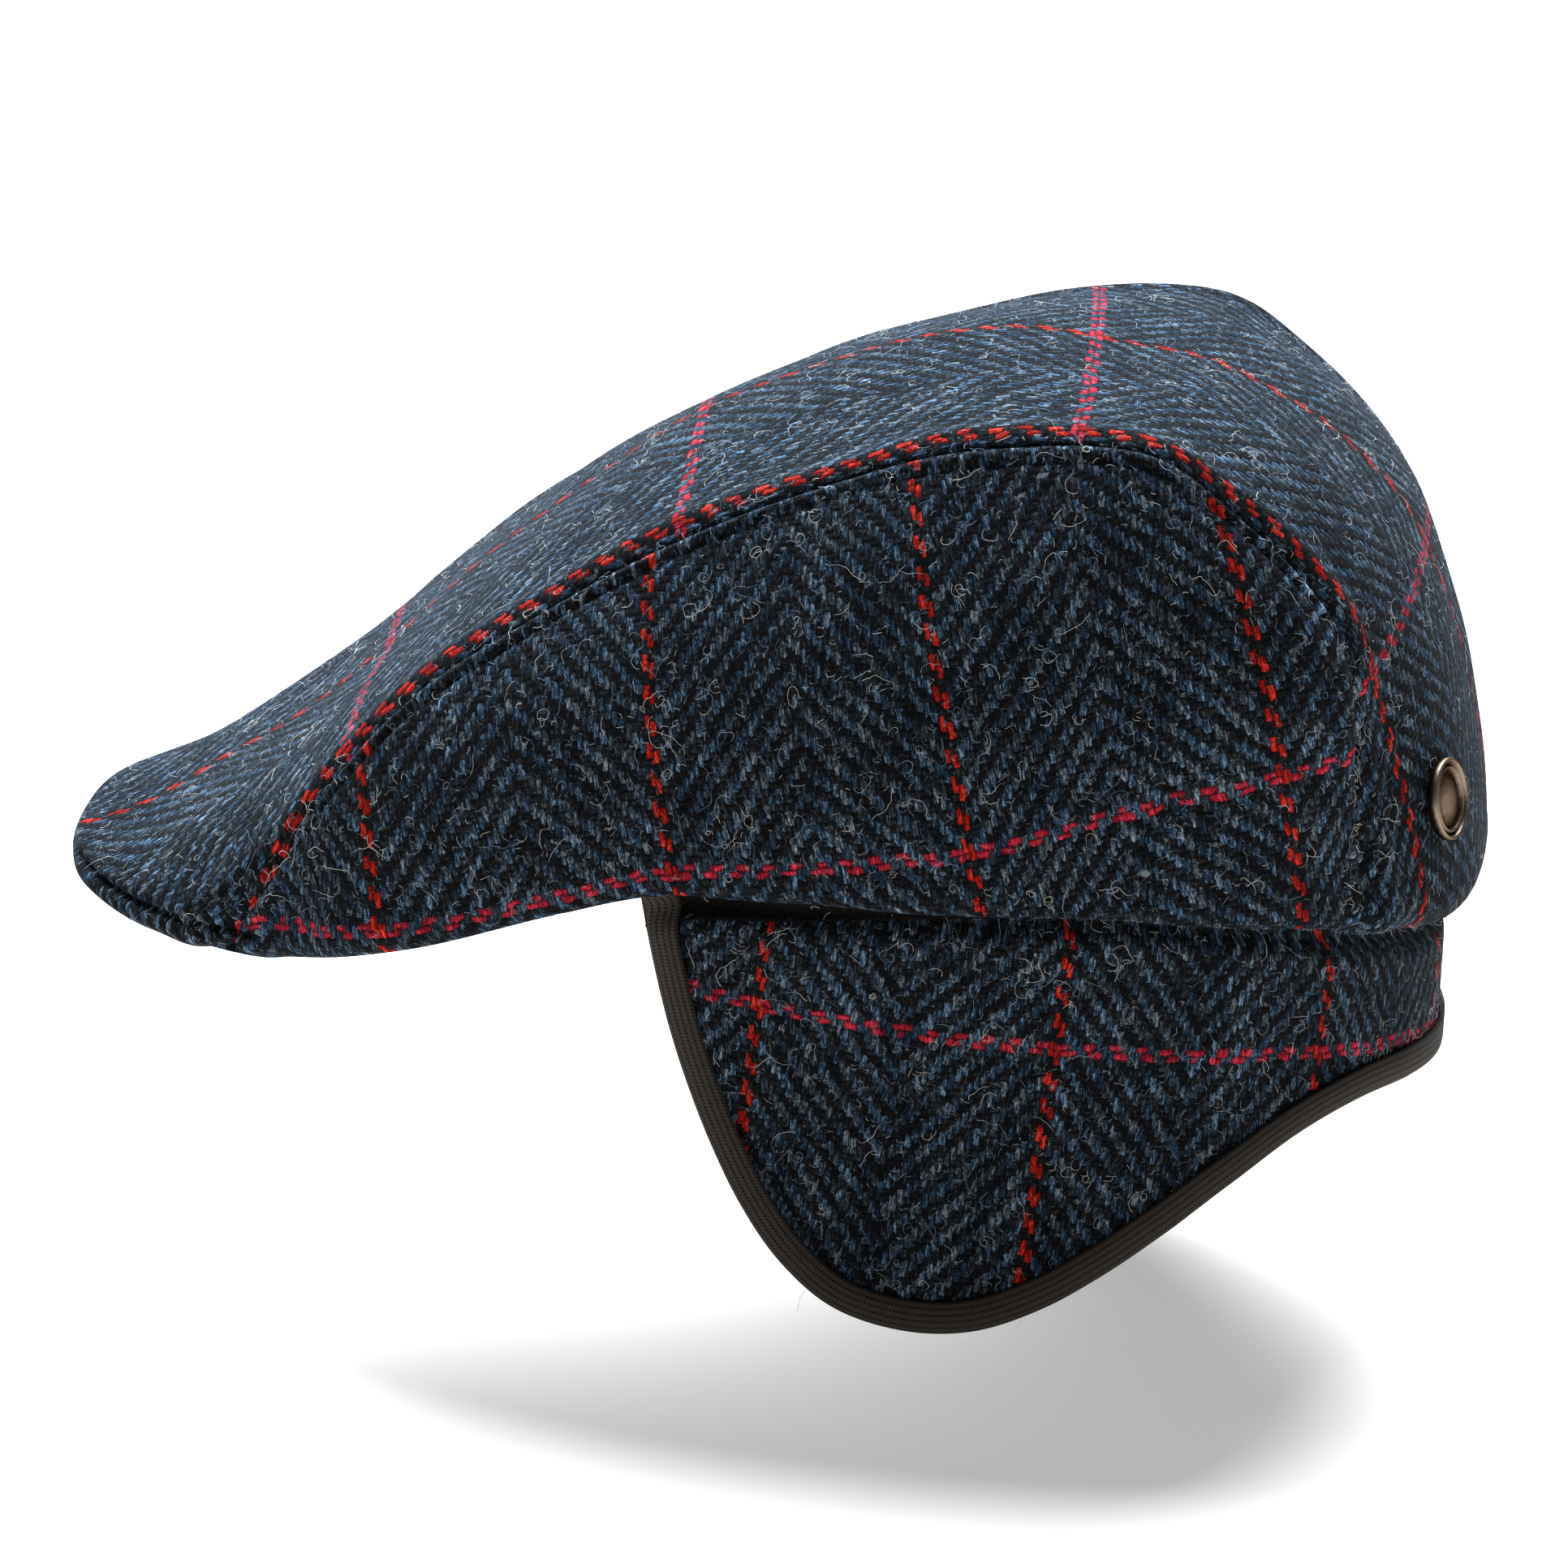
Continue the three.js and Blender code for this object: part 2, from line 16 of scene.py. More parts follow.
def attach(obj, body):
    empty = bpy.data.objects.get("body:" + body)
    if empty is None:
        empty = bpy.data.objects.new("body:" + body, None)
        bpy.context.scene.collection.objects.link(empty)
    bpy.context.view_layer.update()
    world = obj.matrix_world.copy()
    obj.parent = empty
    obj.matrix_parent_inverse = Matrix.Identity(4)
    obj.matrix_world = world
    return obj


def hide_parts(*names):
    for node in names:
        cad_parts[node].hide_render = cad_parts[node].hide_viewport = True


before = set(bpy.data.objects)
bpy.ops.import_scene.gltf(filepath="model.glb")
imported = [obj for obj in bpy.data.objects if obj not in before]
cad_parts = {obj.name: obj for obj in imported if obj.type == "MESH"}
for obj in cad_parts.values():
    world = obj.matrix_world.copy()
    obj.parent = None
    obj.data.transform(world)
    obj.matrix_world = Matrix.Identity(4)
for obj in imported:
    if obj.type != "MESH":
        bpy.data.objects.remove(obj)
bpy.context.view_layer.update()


# The studio: the cap hangs just over a table of opal acrylic that is lit from below, under
# one wide soft light overhead. It is seen from its left and slightly from behind, through
# a long lens.
CAMERA_AZIMUTH = math.radians(99)
CAMERA_HEIGHT = math.radians(16)
CAMERA_DISTANCE = 2400
CAMERA_TARGET = Vector((0, -26.4, -1.5))
CAMERA_LENS = 288
TABLE_LEVEL = -101
LIGHT_FROM = (-0.61, -0.17, 0.77)
CARD_FROM = (0.85, -0.1, 0.4)

back = Vector((
    math.sin(CAMERA_AZIMUTH) * math.cos(CAMERA_HEIGHT),
    -math.cos(CAMERA_AZIMUTH) * math.cos(CAMERA_HEIGHT),
    math.sin(CAMERA_HEIGHT),
))
camera = bpy.data.objects.new("camera", bpy.data.cameras.new("camera"))
bpy.context.scene.collection.objects.link(camera)
camera.location = (CAMERA_TARGET + back * CAMERA_DISTANCE) * 0.001
camera.rotation_euler = (-back).to_track_quat("-Z", "Y").to_euler()
camera.data.lens = CAMERA_LENS
camera.data.clip_start = 0.05
camera.data.clip_end = 60
bpy.context.scene.camera = camera
bpy.context.scene.view_settings.view_transform = "Standard"


def linear(colour):
    """An sRGB hex colour, such as "3f5f80", as the linear numbers that a shader takes."""
    parts = [int(colour[i:i + 2], 16) / 255 for i in (0, 2, 4)]
    return [p / 12.92 if p <= 0.04045 else ((p + 0.055) / 1.055) ** 2.4 for p in parts] + [1]


def add(tree, kind, *inputs, named=None, **settings):
    """Adds a node. Its inputs, in order or by name, are values, nodes or their sockets."""
    made = tree.nodes.new("ShaderNode" + kind)
    for name, value in settings.items():
        setattr(made, name, value)
    sockets = [s for s in made.inputs if s.enabled]
    wanted = list(zip(sockets, inputs))
    wanted += [(s, named[s.name]) for s in sockets if s.name in (named or {})]
    for socket, value in wanted:
        if isinstance(value, bpy.types.Node):
            value = next(s for s in value.outputs if s.enabled)
        if isinstance(value, bpy.types.NodeSocket):
            tree.links.new(value, socket)
        elif value is not None:
            socket.default_value = value
    return made


def new_material(name):
    """A material, with the tree that its nodes go in and its Principled shader."""
    made = bpy.data.materials.new(name)
    made.use_nodes = True
    return made, made.node_tree, made.node_tree.nodes["Principled BSDF"]


# Opal acrylic with a satin face: its own glow keeps the shadow pale
table_top, tree, shader = new_material("opal_acrylic")
shader.inputs["Base Color"].default_value = linear("c2b8af")
shader.inputs["Roughness"].default_value = 0.9
shader.inputs["Specular IOR Level"].default_value = 0.05
shader.inputs["Emission Color"].default_value = linear("ffffff")
shader.inputs["Emission Strength"].default_value = 0.43

table = bmesh.new()
bmesh.ops.create_grid(table, x_segments=1, y_segments=1, size=20)
bmesh.ops.translate(table, verts=table.verts, vec=(0, 0, TABLE_LEVEL * 0.001))
table_mesh = bpy.data.meshes.new("table_top")
table.to_mesh(table_mesh)
table.free()
table_mesh.materials.append(table_top)
table_object = bpy.data.objects.new("table_top", table_mesh)
bpy.context.scene.collection.objects.link(table_object)

light = bpy.data.lights.new("soft_box", "SUN")
light.energy = 22.5
light.angle = math.radians(56)
light.color = (0.88, 1, 1.12)
fill = bpy.data.lights.new("white_card", "SUN")
fill.energy = 0.08
fill.color = (1.12, 1, 0.86)
fill.angle = math.radians(40)
for lamp, source in [(light, LIGHT_FROM), (fill, CARD_FROM)]:
    lamp_object = bpy.data.objects.new(lamp.name, lamp)
    lamp_object.rotation_euler = Vector(source).to_track_quat("Z", "Y").to_euler()
    bpy.context.scene.collection.objects.link(lamp_object)

world = bpy.data.worlds.new("studio")
world.use_nodes = True
world.node_tree.nodes["Background"].inputs["Color"].default_value = (1, 1, 1, 1)
world.node_tree.nodes["Background"].inputs["Strength"].default_value = 0.08
bpy.context.scene.world = world


# Top panel: one long piece of tweed from the front of the peak over the crown and down to
# the hem at the back. It is blocked to shape with the side panels sewn to it, and its ends
# are turned under.
Rib = namedtuple("Rib", "centre_y centre_z seam_x seam_y seam_z edge_x edge_y edge_z sweep fall")
RIBS = [
    Rib(-162.3, -11.8, 51, -124, -13.9, 51, -124, -13.9, 2.7, 2.2),
    Rib(-148, -7.4, 53, -119, -7.8, 54.5, -119, -13.9, 2.9, 3),
    Rib(-133, 1, 54.2, -114, -0.5, 58, -114, -13.4, 3.2, 4.5),
    Rib(-118, 10.6, 55, -107.5, 9.5, 62, -107.5, -12.8, 3.8, 5),
    Rib(-104.6, 22, 56, -100.5, 19.3, 65.5, -100, -11.8, 3.6, 4.6),
    Rib(-84, 40.5, 57, -84.5, 34, 73.3, -80.5, -8.3, 3, 3.2),
    Rib(-64, 57, 58.5, -63, 48.3, 79.5, -57, -2.1, 2.4, 2.4),
    Rib(-42, 72, 59.7, -40, 60.8, 84, -35, 3.6, 2, 1.9),
    Rib(-20, 81.6, 60, -18, 71.8, 87.3, -12, 4, 2, 1.6),
    Rib(2, 88, 60, 3, 79, 89.2, 11, 4, 2, 1.5),
    Rib(22, 90, 60, 23, 83, 89.2, 29, 3.6, 2, 1.8),
    Rib(42, 88, 60, 41, 84.4, 86.2, 44.5, 3.2, 2, 2.3),
    Rib(59, 84, 60, 56, 81, 82, 57, 2.2, 2, 2.6),
    Rib(75.5, 75.6, 59.5, 70, 70, 76.5, 68.5, 0.8, 2.2, 2.8),
    Rib(88.8, 63, 57.8, 80.5, 58.5, 71, 77, -0.8, 2.2, 2.6),
    Rib(97, 48, 55.3, 87, 45, 65.8, 83.4, -2.2, 2.3, 2.2),
    Rib(102.3, 30.5, 55, 87.8, 29, 62, 87.3, -3.2, 2.6, 2.2),
    Rib(105.8, 11, 55.7, 89, 12, 59, 90, -4, 2.9, 2.2),
    Rib(107.8, -9.6, 56, 92.2, -4.6, 56, 92.2, -4.6, 3, 2.2),
]
Edge = namedtuple("Edge", "angle slope radius turn")
EDGE = [
    Edge(0, 44, 4.3, 6.4),
    Edge(14, 48, 4.3, 6.8),
    Edge(26, 60, 4.8, 7.6),
    Edge(38, 80, 4.4, 8.8),
    Edge(60, 88, 4.2, 13),
    Edge(110, 88, 4.2, 13),
    Edge(140, 88, 5, 13),
    Edge(180, 88, 8.5, 13),
]
PEAK_END_ANGLE = 60
HEAD_HALF_WIDTH = 82
HEAD_FRONT = 103
HEAD_BACK = 102
HEAD_LINE_FRONT = -3
HEAD_LINE_SIDE = 3
HEAD_LINE_BACK = -8
PEAK_SET = 0.115
PEAK_SET_FROM = 45
PEAK_SET_FULL = 150
CROWN_WALL = 2.6
SEAM_GAP = 0.3


def through(rows, name, at):
    """The smooth line through one column of a table, at 0 to 1 along its rows."""
    values = np.array([getattr(row, name) for row in rows], float)
    place = np.clip(at, 0, 1) * (len(values) - 1)
    first = np.minimum(np.floor(place).astype(int), len(values) - 2)
    part = place - first
    ends = [2 * values[0] - values[1]], [2 * values[-1] - values[-2]]
    values = np.concatenate([ends[0], values, ends[1]])
    before, start, end, after = (values[first + k] for k in range(4))
    leave, arrive = (end - before) / 2, (after - start) / 2
    bend = 3 * (end - start) - 2 * leave - arrive
    return start + part * (leave + part * (bend + part * (2 * (start - end) + leave + arrive)))


def smooth(value, low, high):
    part = np.clip((value - low) / (high - low), 0, 1)
    return part * part * (3 - 2 * part)


def mix(a, b, part):
    return a + (b - a) * part


def length(vectors):
    return np.linalg.norm(vectors, axis=-1)


def unit(vectors):
    return vectors / np.maximum(length(vectors), 1e-9)[..., None]


def points(x, y, z):
    return np.stack(np.broadcast_arrays(x, y, z), -1).astype(float)


def head_angle(place):
    """Angle in degrees round the head, from the front."""
    reach = np.where(place[..., 1] < 0, HEAD_FRONT, HEAD_BACK)
    return np.degrees(np.arctan2(np.abs(place[..., 0]) / HEAD_HALF_WIDTH, -place[..., 1] / reach))


def head_point(angle, z, out=0):
    """Point on the face of the band that follows the head, moved out by a distance."""
    turn = np.radians(angle)
    reach = np.where(np.cos(turn) > 0, HEAD_FRONT, HEAD_BACK)
    x, y = HEAD_HALF_WIDTH * np.sin(turn), -reach * np.cos(turn)
    way = unit(points(x / HEAD_HALF_WIDTH ** 2, y / reach ** 2, 0))
    return points(x + out * way[..., 0], y + out * way[..., 1], z)


def edge_value(angle, name):
    """One column of the EDGE table, eased from row to row."""
    value = np.full(np.shape(angle), float(getattr(EDGE[0], name)))
    for low, high in zip(EDGE, EDGE[1:]):
        step = getattr(high, name) - getattr(low, name)
        value = value + step * smooth(angle, low.angle, high.angle)
    return value


def top_point(along, across):
    """Point of the top panel: across is -1 at the right seam and 1 at the left one."""
    wide = np.abs(across)
    y = mix(through(RIBS, "centre_y", along), through(RIBS, "seam_y", along),
            wide ** through(RIBS, "sweep", along))
    z = mix(through(RIBS, "centre_z", along), through(RIBS, "seam_z", along),
            wide ** through(RIBS, "fall", along))
    return points(across * through(RIBS, "seam_x", along), y, z)


def edge_start(way):
    """Start of the turned edge: 0 to 1 round the peak's front, 1 to 2 along the side
    panel and 2 to 3 round the back."""
    way = np.asarray(way, float)
    side = np.clip(way - 1, 0, 1)
    at_side = points(*(through(RIBS, name, side) for name in ("edge_x", "edge_y", "edge_z")))
    at_front = top_point(0 * way, np.clip(way, 0, 1))
    at_back = top_point(0 * way + 1, np.clip(3 - way, 0, 1))
    way = way[..., None]
    return np.where(way < 1, at_front, np.where(way <= 2, at_side, at_back))


def lower_edge(way):
    """The lower edge at one place, and how it turns under to the head line."""
    way = np.asarray(way, float)
    start = edge_start(way)
    tangent = edge_start(np.minimum(way + 0.01, 3)) - edge_start(np.maximum(way - 0.01, 0))
    tangent[..., 2] = 0
    tangent = unit(tangent)
    tangent[way == 0] = (1, 0, 0)
    tangent[way == 3] = (-1, 0, 0)
    out = points(tangent[..., 1], -tangent[..., 0], 0)
    angle = head_angle(start)
    slope, radius = np.radians(edge_value(angle, "slope")), edge_value(angle, "radius")
    arc = radius * (math.pi - slope)
    level = np.where(
        angle < 90,
        mix(HEAD_LINE_FRONT, HEAD_LINE_SIDE, smooth(angle, 0, 60)),
        mix(HEAD_LINE_SIDE, HEAD_LINE_BACK, smooth(angle, 90, 180)),
    )
    head = head_point(angle, level, SEAM_GAP + 1.3 * (1 - smooth(angle, 72, 80)))
    edge = dict(start=start, out=out, slope=slope, radius=radius, arc=arc, head=head, angle=angle)
    edge["length"] = arc + 1
    edge["length"] = arc + length(turn_under(edge, arc) - head)
    edge["turn"] = np.where(angle > PEAK_END_ANGLE, edge["length"], edge_value(angle, "turn"))
    return edge


def turn_under(edge, distance):
    """Point a distance round the lower edge: on its round, then straight to the head."""
    turn = edge["slope"] + np.minimum(distance, edge["arc"]) / edge["radius"]
    flat = edge["radius"] * (np.sin(turn) - np.sin(edge["slope"]))
    drop = edge["radius"] * (np.cos(turn) - np.cos(edge["slope"]))
    place = edge["start"] + flat[..., None] * edge["out"] + points(0, 0, drop)
    rest = np.maximum(distance - edge["arc"], 0) / (edge["length"] - edge["arc"])
    return place + (edge["head"] - place) * rest[..., None]


def with_set(place):
    """The soft peak has taken a set, and hangs lower on the left."""
    slope = PEAK_SET * smooth(-place[..., 1], PEAK_SET_FROM, PEAK_SET_FULL)
    return place - points(0, 0, slope * place[..., 0])


def grid_normals(grid):
    """Unit normals of a grid whose rows run back and whose columns run outwards."""
    return unit(np.cross(np.gradient(grid, axis=1), np.gradient(grid, axis=0)))


def run_of(grid, axis):
    """Distance along each row or column of a grid, from its first point."""
    step = length(np.diff(grid, axis=axis))
    return np.insert(np.cumsum(step, axis=axis), 0, 0, axis=axis)


def cloth_piece(name, grid, cloth, inner, *materials, in_cad=True):
    """A wall of cloth from a grid of places in mm, with its place on the uncut cloth as UV.
    The inner grid is its back, where it has one."""
    rows, columns = grid.shape[:2]
    panel = bmesh.new()
    bmesh.ops.create_grid(panel, x_segments=columns - 1, y_segments=rows - 1, size=0.5)
    mesh = bpy.data.meshes.new(name)
    panel.to_mesh(mesh)
    mesh.vertices.foreach_set("co", (grid * 0.001).ravel())
    corners = np.empty(len(mesh.loops), int)
    mesh.loops.foreach_get("vertex_index", corners)
    mesh.uv_layers.new(name="cloth").uv.foreach_set("vector", cloth.reshape(-1, 2)[corners].ravel())
    panel.clear()
    panel.from_mesh(mesh)
    if inner is not None:
        back_faces, back_verts = panel.faces[:], panel.verts[:]
        bmesh.ops.extrude_face_region(panel, geom=back_faces, use_keep_orig=True)
        for vert, at in zip(back_verts, (inner * 0.001).reshape(-1, 3)):
            vert.co = at
        for back_face in back_faces:
            back_face.material_index = len(materials) - 1
    bmesh.ops.remove_doubles(panel, verts=panel.verts, dist=3e-5)
    if inner is not None:
        bmesh.ops.recalc_face_normals(panel, faces=panel.faces)
    panel.to_mesh(mesh)
    panel.free()
    mesh.shade_smooth()
    for material in materials:
        mesh.materials.append(material)
    made = bpy.data.objects.new(name, mesh)
    bpy.context.scene.collection.objects.link(made)
    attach(made, "root")
    if in_cad:
        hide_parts(name)
    return made


def mirrored(grid):
    """The same panel for the other side of the cap."""
    return grid[:, ::-1] * (-1, 1, 1)


# Wool tweed in a 2/2 herringbone twill: slate-blue heather warp over a near-black weft,
# with two red ends every 57 mm and two red picks every 78 mm. It is matt, and its loose
# fibres catch the light at the edges.
END_SPACING = 57 / 44
PICK_SPACING = 78 / 55
ENDS_A_CHECK = 44
PICKS_A_CHECK = 55
ENDS_A_COLUMN = 22

tweed, tree, shader = new_material("herringbone_tweed")
cloth_map = add(tree, "UVMap", uv_map="cloth")
twist = []
for slant, fine in [(32, 3), (-44, 2.4)]:
    fibre_map = add(tree, "Mapping", cloth_map, named={
        "Rotation": (0, 0, math.radians(slant)), "Scale": (fine, fine / 5, 1)})
    twist.append(add(tree, "TexNoise", fibre_map, named={"Scale": 1, "Detail": 3, "Roughness": 0.7}))
fibre = add(tree, "Math", *twist, operation="MAXIMUM")
frayed = add(tree, "VectorMath", fibre, (0.8, 0.5, 0), operation="MULTIPLY")
place = add(tree, "VectorMath", cloth_map, frayed, operation="ADD")
for scale, reach in [(0.2, 1.8), (0.9, 0.7), (2.6, 0.8)]:
    wander = add(tree, "TexNoise", cloth_map, named={"Scale": scale, "Detail": 1})
    wander = add(tree, "VectorMath", wander.outputs["Color"], (0.5, 0.5, 0.5), operation="SUBTRACT")
    wander = add(tree, "VectorMath", wander, (reach, reach, 0), operation="MULTIPLY")
    place = add(tree, "VectorMath", place, wander, operation="ADD")
place = add(tree, "SeparateXYZ", place)
end = add(tree, "Math", place.outputs["X"], END_SPACING, operation="DIVIDE")
end = add(tree, "Math", end, 1, operation="ADD")
pick = add(tree, "Math", place.outputs["Y"], PICK_SPACING, operation="DIVIDE")
pick = add(tree, "Math", pick, 1, operation="ADD")
end_number = add(tree, "Math", end, operation="FLOOR")
end_part = add(tree, "Math", end, operation="FRACT")
pick_number = add(tree, "Math", pick, operation="FLOOR")
pick_part = add(tree, "Math", pick, operation="FRACT")

# Which yarn is on top, and how far along its float of two a point is
column = add(tree, "Math", end_number, ENDS_A_COLUMN, operation="DIVIDE")
column = add(tree, "Math", column, operation="FLOOR")
column = add(tree, "Math", column, 2, operation="FLOORED_MODULO")
hand = add(tree, "Math", column, -2, 1, operation="MULTIPLY_ADD")
shed = add(tree, "Math", hand, end_number, operation="MULTIPLY")
shed = add(tree, "Math", pick_number, shed, operation="SUBTRACT")
shed = add(tree, "Math", shed, 4, operation="FLOORED_MODULO")
warp_up = add(tree, "Math", shed, 1.5, operation="LESS_THAN")
warp_run = add(tree, "Math", pick_part, shed, operation="ADD")
warp_run = add(tree, "Math", warp_run, 1, operation="SUBTRACT")
weft_run = add(tree, "Math", 2.5, shed, operation="SUBTRACT")
weft_run = add(tree, "Math", weft_run, hand, -0.5, operation="MULTIPLY_ADD")
weft_run = add(tree, "Math", end_part, weft_run, operation="ADD")

heights = []
for across, along, fullness in [(end_part, warp_run, 1), (pick_part, weft_run, 0.75)]:
    side = add(tree, "Math", across, 2, -1, operation="MULTIPLY_ADD")
    side = add(tree, "Math", side, side, operation="MULTIPLY")
    side = add(tree, "Math", side, -fullness, fullness, operation="MULTIPLY_ADD")
    run = add(tree, "Math", along, along, operation="MULTIPLY")
    run = add(tree, "Math", run, -0.7, 1, operation="MULTIPLY_ADD")
    heights.append(add(tree, "Math", side, run, operation="MULTIPLY"))
height = add(tree, "Mix", warp_up, heights[1], heights[0], data_type="FLOAT")

# Heather: each float has its own mix of dyed fibres
float_id = add(tree, "Math", pick_number, shed, operation="SUBTRACT")
float_id = add(tree, "CombineXYZ", end_number, float_id)
shade = add(tree, "TexWhiteNoise", float_id, noise_dimensions="2D")
cloud = add(tree, "TexNoise", cloth_map, named={"Scale": 0.09, "Detail": 3})
heather = add(tree, "Math", shade, 0.2, -1, operation="MULTIPLY_ADD")
heather = add(tree, "Math", fibre, 2.15, heather, operation="MULTIPLY_ADD")
heather = add(tree, "Math", cloud, 0.35, heather, operation="MULTIPLY_ADD")

yarns = []
for low, middle, high in [
    ("080b10", "203548", "7b95ac"),
    ("0c0d0e", "2e373e", "8f989c"),
    ("050506", "0f1114", "393e42"),
    ("4c0807", "96180f", "e0503c"),
    ("480a12", "961c2c", "cc4254"),
]:
    ramp = add(tree, "ValToRGB", heather)
    stops = ramp.color_ramp.elements
    stops[0].position, stops[0].color = 0.22, linear(low)
    stops[1].position, stops[1].color = 0.85, linear(high)
    stops.new(0.52).color = linear(middle)
    yarns.append(ramp)
red_end = add(tree, "Math", end_number, ENDS_A_CHECK, operation="FLOORED_MODULO")
red_end = add(tree, "Math", red_end, 1.5, operation="LESS_THAN")
red_pick = add(tree, "Math", pick_number, PICKS_A_CHECK, operation="FLOORED_MODULO")
red_pick = add(tree, "Math", red_pick, 1.5, operation="LESS_THAN")
grey = add(tree, "SeparateXYZ", shade.outputs["Color"])
grey = add(tree, "MapRange", grey.outputs["Y"], 0.35, 0.75, 0, 0.8)
heather_colour = add(tree, "Mix", grey, yarns[0], yarns[1], data_type="RGBA")
warp_colour = add(tree, "Mix", red_end, heather_colour, yarns[3], data_type="RGBA")
weft_colour = add(tree, "Mix", red_pick, yarns[2], yarns[4], data_type="RGBA")
yarn_colour = add(tree, "Mix", warp_up, weft_colour, warp_colour, data_type="RGBA")
gap = add(tree, "MapRange", height, 0.02, 0.45)
yarn_colour = add(tree, "Mix", gap, (0.002, 0.002, 0.0022, 1), yarn_colour, data_type="RGBA")

# Fine loose fibres lying on the face, in broken curls
curl_map = add(tree, "VectorMath", cloth_map, wander, operation="ADD")
for scale, reach in [(0.5, 3), (1.3, 1.2)]:
    wander = add(tree, "TexNoise", cloth_map, named={"Scale": scale, "Detail": 0})
    wander = add(tree, "VectorMath", wander.outputs["Color"], (reach, reach, 0), operation="MULTIPLY")
    curl_map = add(tree, "VectorMath", curl_map, wander, operation="ADD")
curls = add(tree, "TexVoronoi", curl_map, feature="DISTANCE_TO_EDGE", named={"Scale": 0.36})
curls = add(tree, "MapRange", curls, 0.032, 0.01)
breaks = add(tree, "TexNoise", cloth_map, named={"Scale": 0.45, "Detail": 2})
breaks = add(tree, "MapRange", breaks, 0.54, 0.64)
curls = add(tree, "Math", curls, breaks, operation="MULTIPLY")
curl_shade = add(tree, "Math", curls, 0.4, operation="MULTIPLY")
yarn_colour = add(tree, "Mix", curl_shade, yarn_colour, linear("93a0ab"), data_type="RGBA")
fuzzy = add(tree, "Math", fibre, 0.5, height, operation="MULTIPLY_ADD")
fuzzy = add(tree, "Math", curls, 0.3, fuzzy, operation="MULTIPLY_ADD")
bump = add(tree, "Bump", named={"Strength": 1, "Distance": 0.0005, "Height": fuzzy})
tree.links.new(next(s for s in yarn_colour.outputs if s.enabled), shader.inputs["Base Color"])
tree.links.new(bump.outputs[0], shader.inputs["Normal"])
shader.inputs["Roughness"].default_value = 1
shader.inputs["Specular IOR Level"].default_value = 0.05

# Plain cotton lining in a close dark weave, seen only from below
lining, tree, shader = new_material("cotton_lining")
cloth_map = add(tree, "UVMap", uv_map="cloth")
ribs = add(tree, "TexWave", cloth_map, named={"Scale": 0.4, "Distortion": 0.6})
tone = add(tree, "ValToRGB", ribs)
tone.color_ramp.elements[0].color = linear("16181c")
tone.color_ramp.elements[1].color = linear("23262b")
bump = add(tree, "Bump", named={"Strength": 0.3, "Distance": 0.0001, "Height": ribs})
tree.links.new(tone.outputs[0], shader.inputs["Base Color"])
tree.links.new(bump.outputs[0], shader.inputs["Normal"])
shader.inputs["Roughness"].default_value = 0.85

# Shapes of the top panel
TOP_COLUMNS = 120
PANEL_ROWS = 200
TURN_ROWS = 14
SEAM_DIP = 1.8
SEAM_DIP_WIDTH = 1.4
SEAM_ROLL = 0.9
SEWN_WIDTH = 4
CREASE_DEPTH = 2
UNEVENNESS = 0.14
CLOTH_WAVES = np.random.default_rng(7).normal(size=(9, 3))
TOP_HALF_CLOTH = 59.9
BACK_DRIFT = 12
FRONT_DRIFT = 11
FRONT_NARROWING = 4
RED_PICK_Y = -41.5
WEFT_SLANT = 0.085
RED_PICK_RIB = 7 / 18

across = np.linspace(-1, 1, TOP_COLUMNS + 1)
along = np.linspace(0, 1, PANEL_ROWS + 1)
under = np.linspace(0, 1, TURN_ROWS + 1)[1:, None]
mirror = points(np.where(across < 0, -1, 1), 1, 1)
front_edge = lower_edge(np.abs(across))
back_edge = lower_edge(3 - np.abs(across))
top_grid = np.concatenate([
    turn_under(front_edge, under[::-1] * front_edge["turn"]) * mirror,
    top_point(along[:, None], across[None, :]),
    turn_under(back_edge, under * back_edge["turn"]) * mirror,
])
row_along = np.concatenate([0 * under[:, 0], along, 0 * under[:, 0] + 1])
run = run_of(top_grid, 0)
check_row = TURN_ROWS + round(RED_PICK_RIB * PANEL_ROWS)
check_line = RED_PICK_Y + WEFT_SLANT * top_grid[check_row, :, 0]
half_cloth = TOP_HALF_CLOTH - FRONT_NARROWING * (1 - smooth(row_along, 0, 0.19))
front_drift = FRONT_DRIFT * (1 - smooth(row_along, 0, 0.12))[:, None] * (1 - across ** 2)
top_cloth = np.stack([
    across * half_cloth[:, None] + BACK_DRIFT * smooth(row_along, 0.72, 1)[:, None] - front_drift,
    run - run[check_row] + 1.2 * (top_grid[check_row, :, 1] - check_line),
], -1)


def uneven(place):
    """Soft rise and fall of blocked cloth over padding, the same on both sides of a seam."""
    rise = 0
    for k in range(9):
        way = CLOTH_WAVES[k] / length(CLOTH_WAVES[k])
        rise = rise + np.sin(place @ way * math.tau / (24 + 7 * k) + k * 2.1)
    return rise * UNEVENNESS


def ridge(distance, at, width):
    return np.exp(-((distance - at) / width) ** 2)


def raised(grid, rise, normals):
    """Moves a grid of cloth out along its normals, and gives the peak its set."""
    return with_set(grid + normals * (rise + uneven(grid))[..., None])


def crease_rise(distance, part):
    """Cloth rolled over the peak's edge, with a crease just above the roll."""
    return part * (0.6 * ridge(distance, 4.2, 1.5) - CREASE_DEPTH * ridge(distance, 1.7, 0.65))


# Shape of the side panels, which the top panel's seams follow
SIDE_START_SLOPE = math.radians(48)
SIDE_START_PULL = 0.34
SIDE_END_PULL = 0.42
SIDE_COLUMNS = 80
PRESS_LINE = 4.3
PRESS_DEPTH = 0.75
SIDE_CLOTH_TURN = 168
SIDE_CLOTH_START = (90.5, 7.4)
ALONG_POWERS = 7
DOWN_POWERS = 4


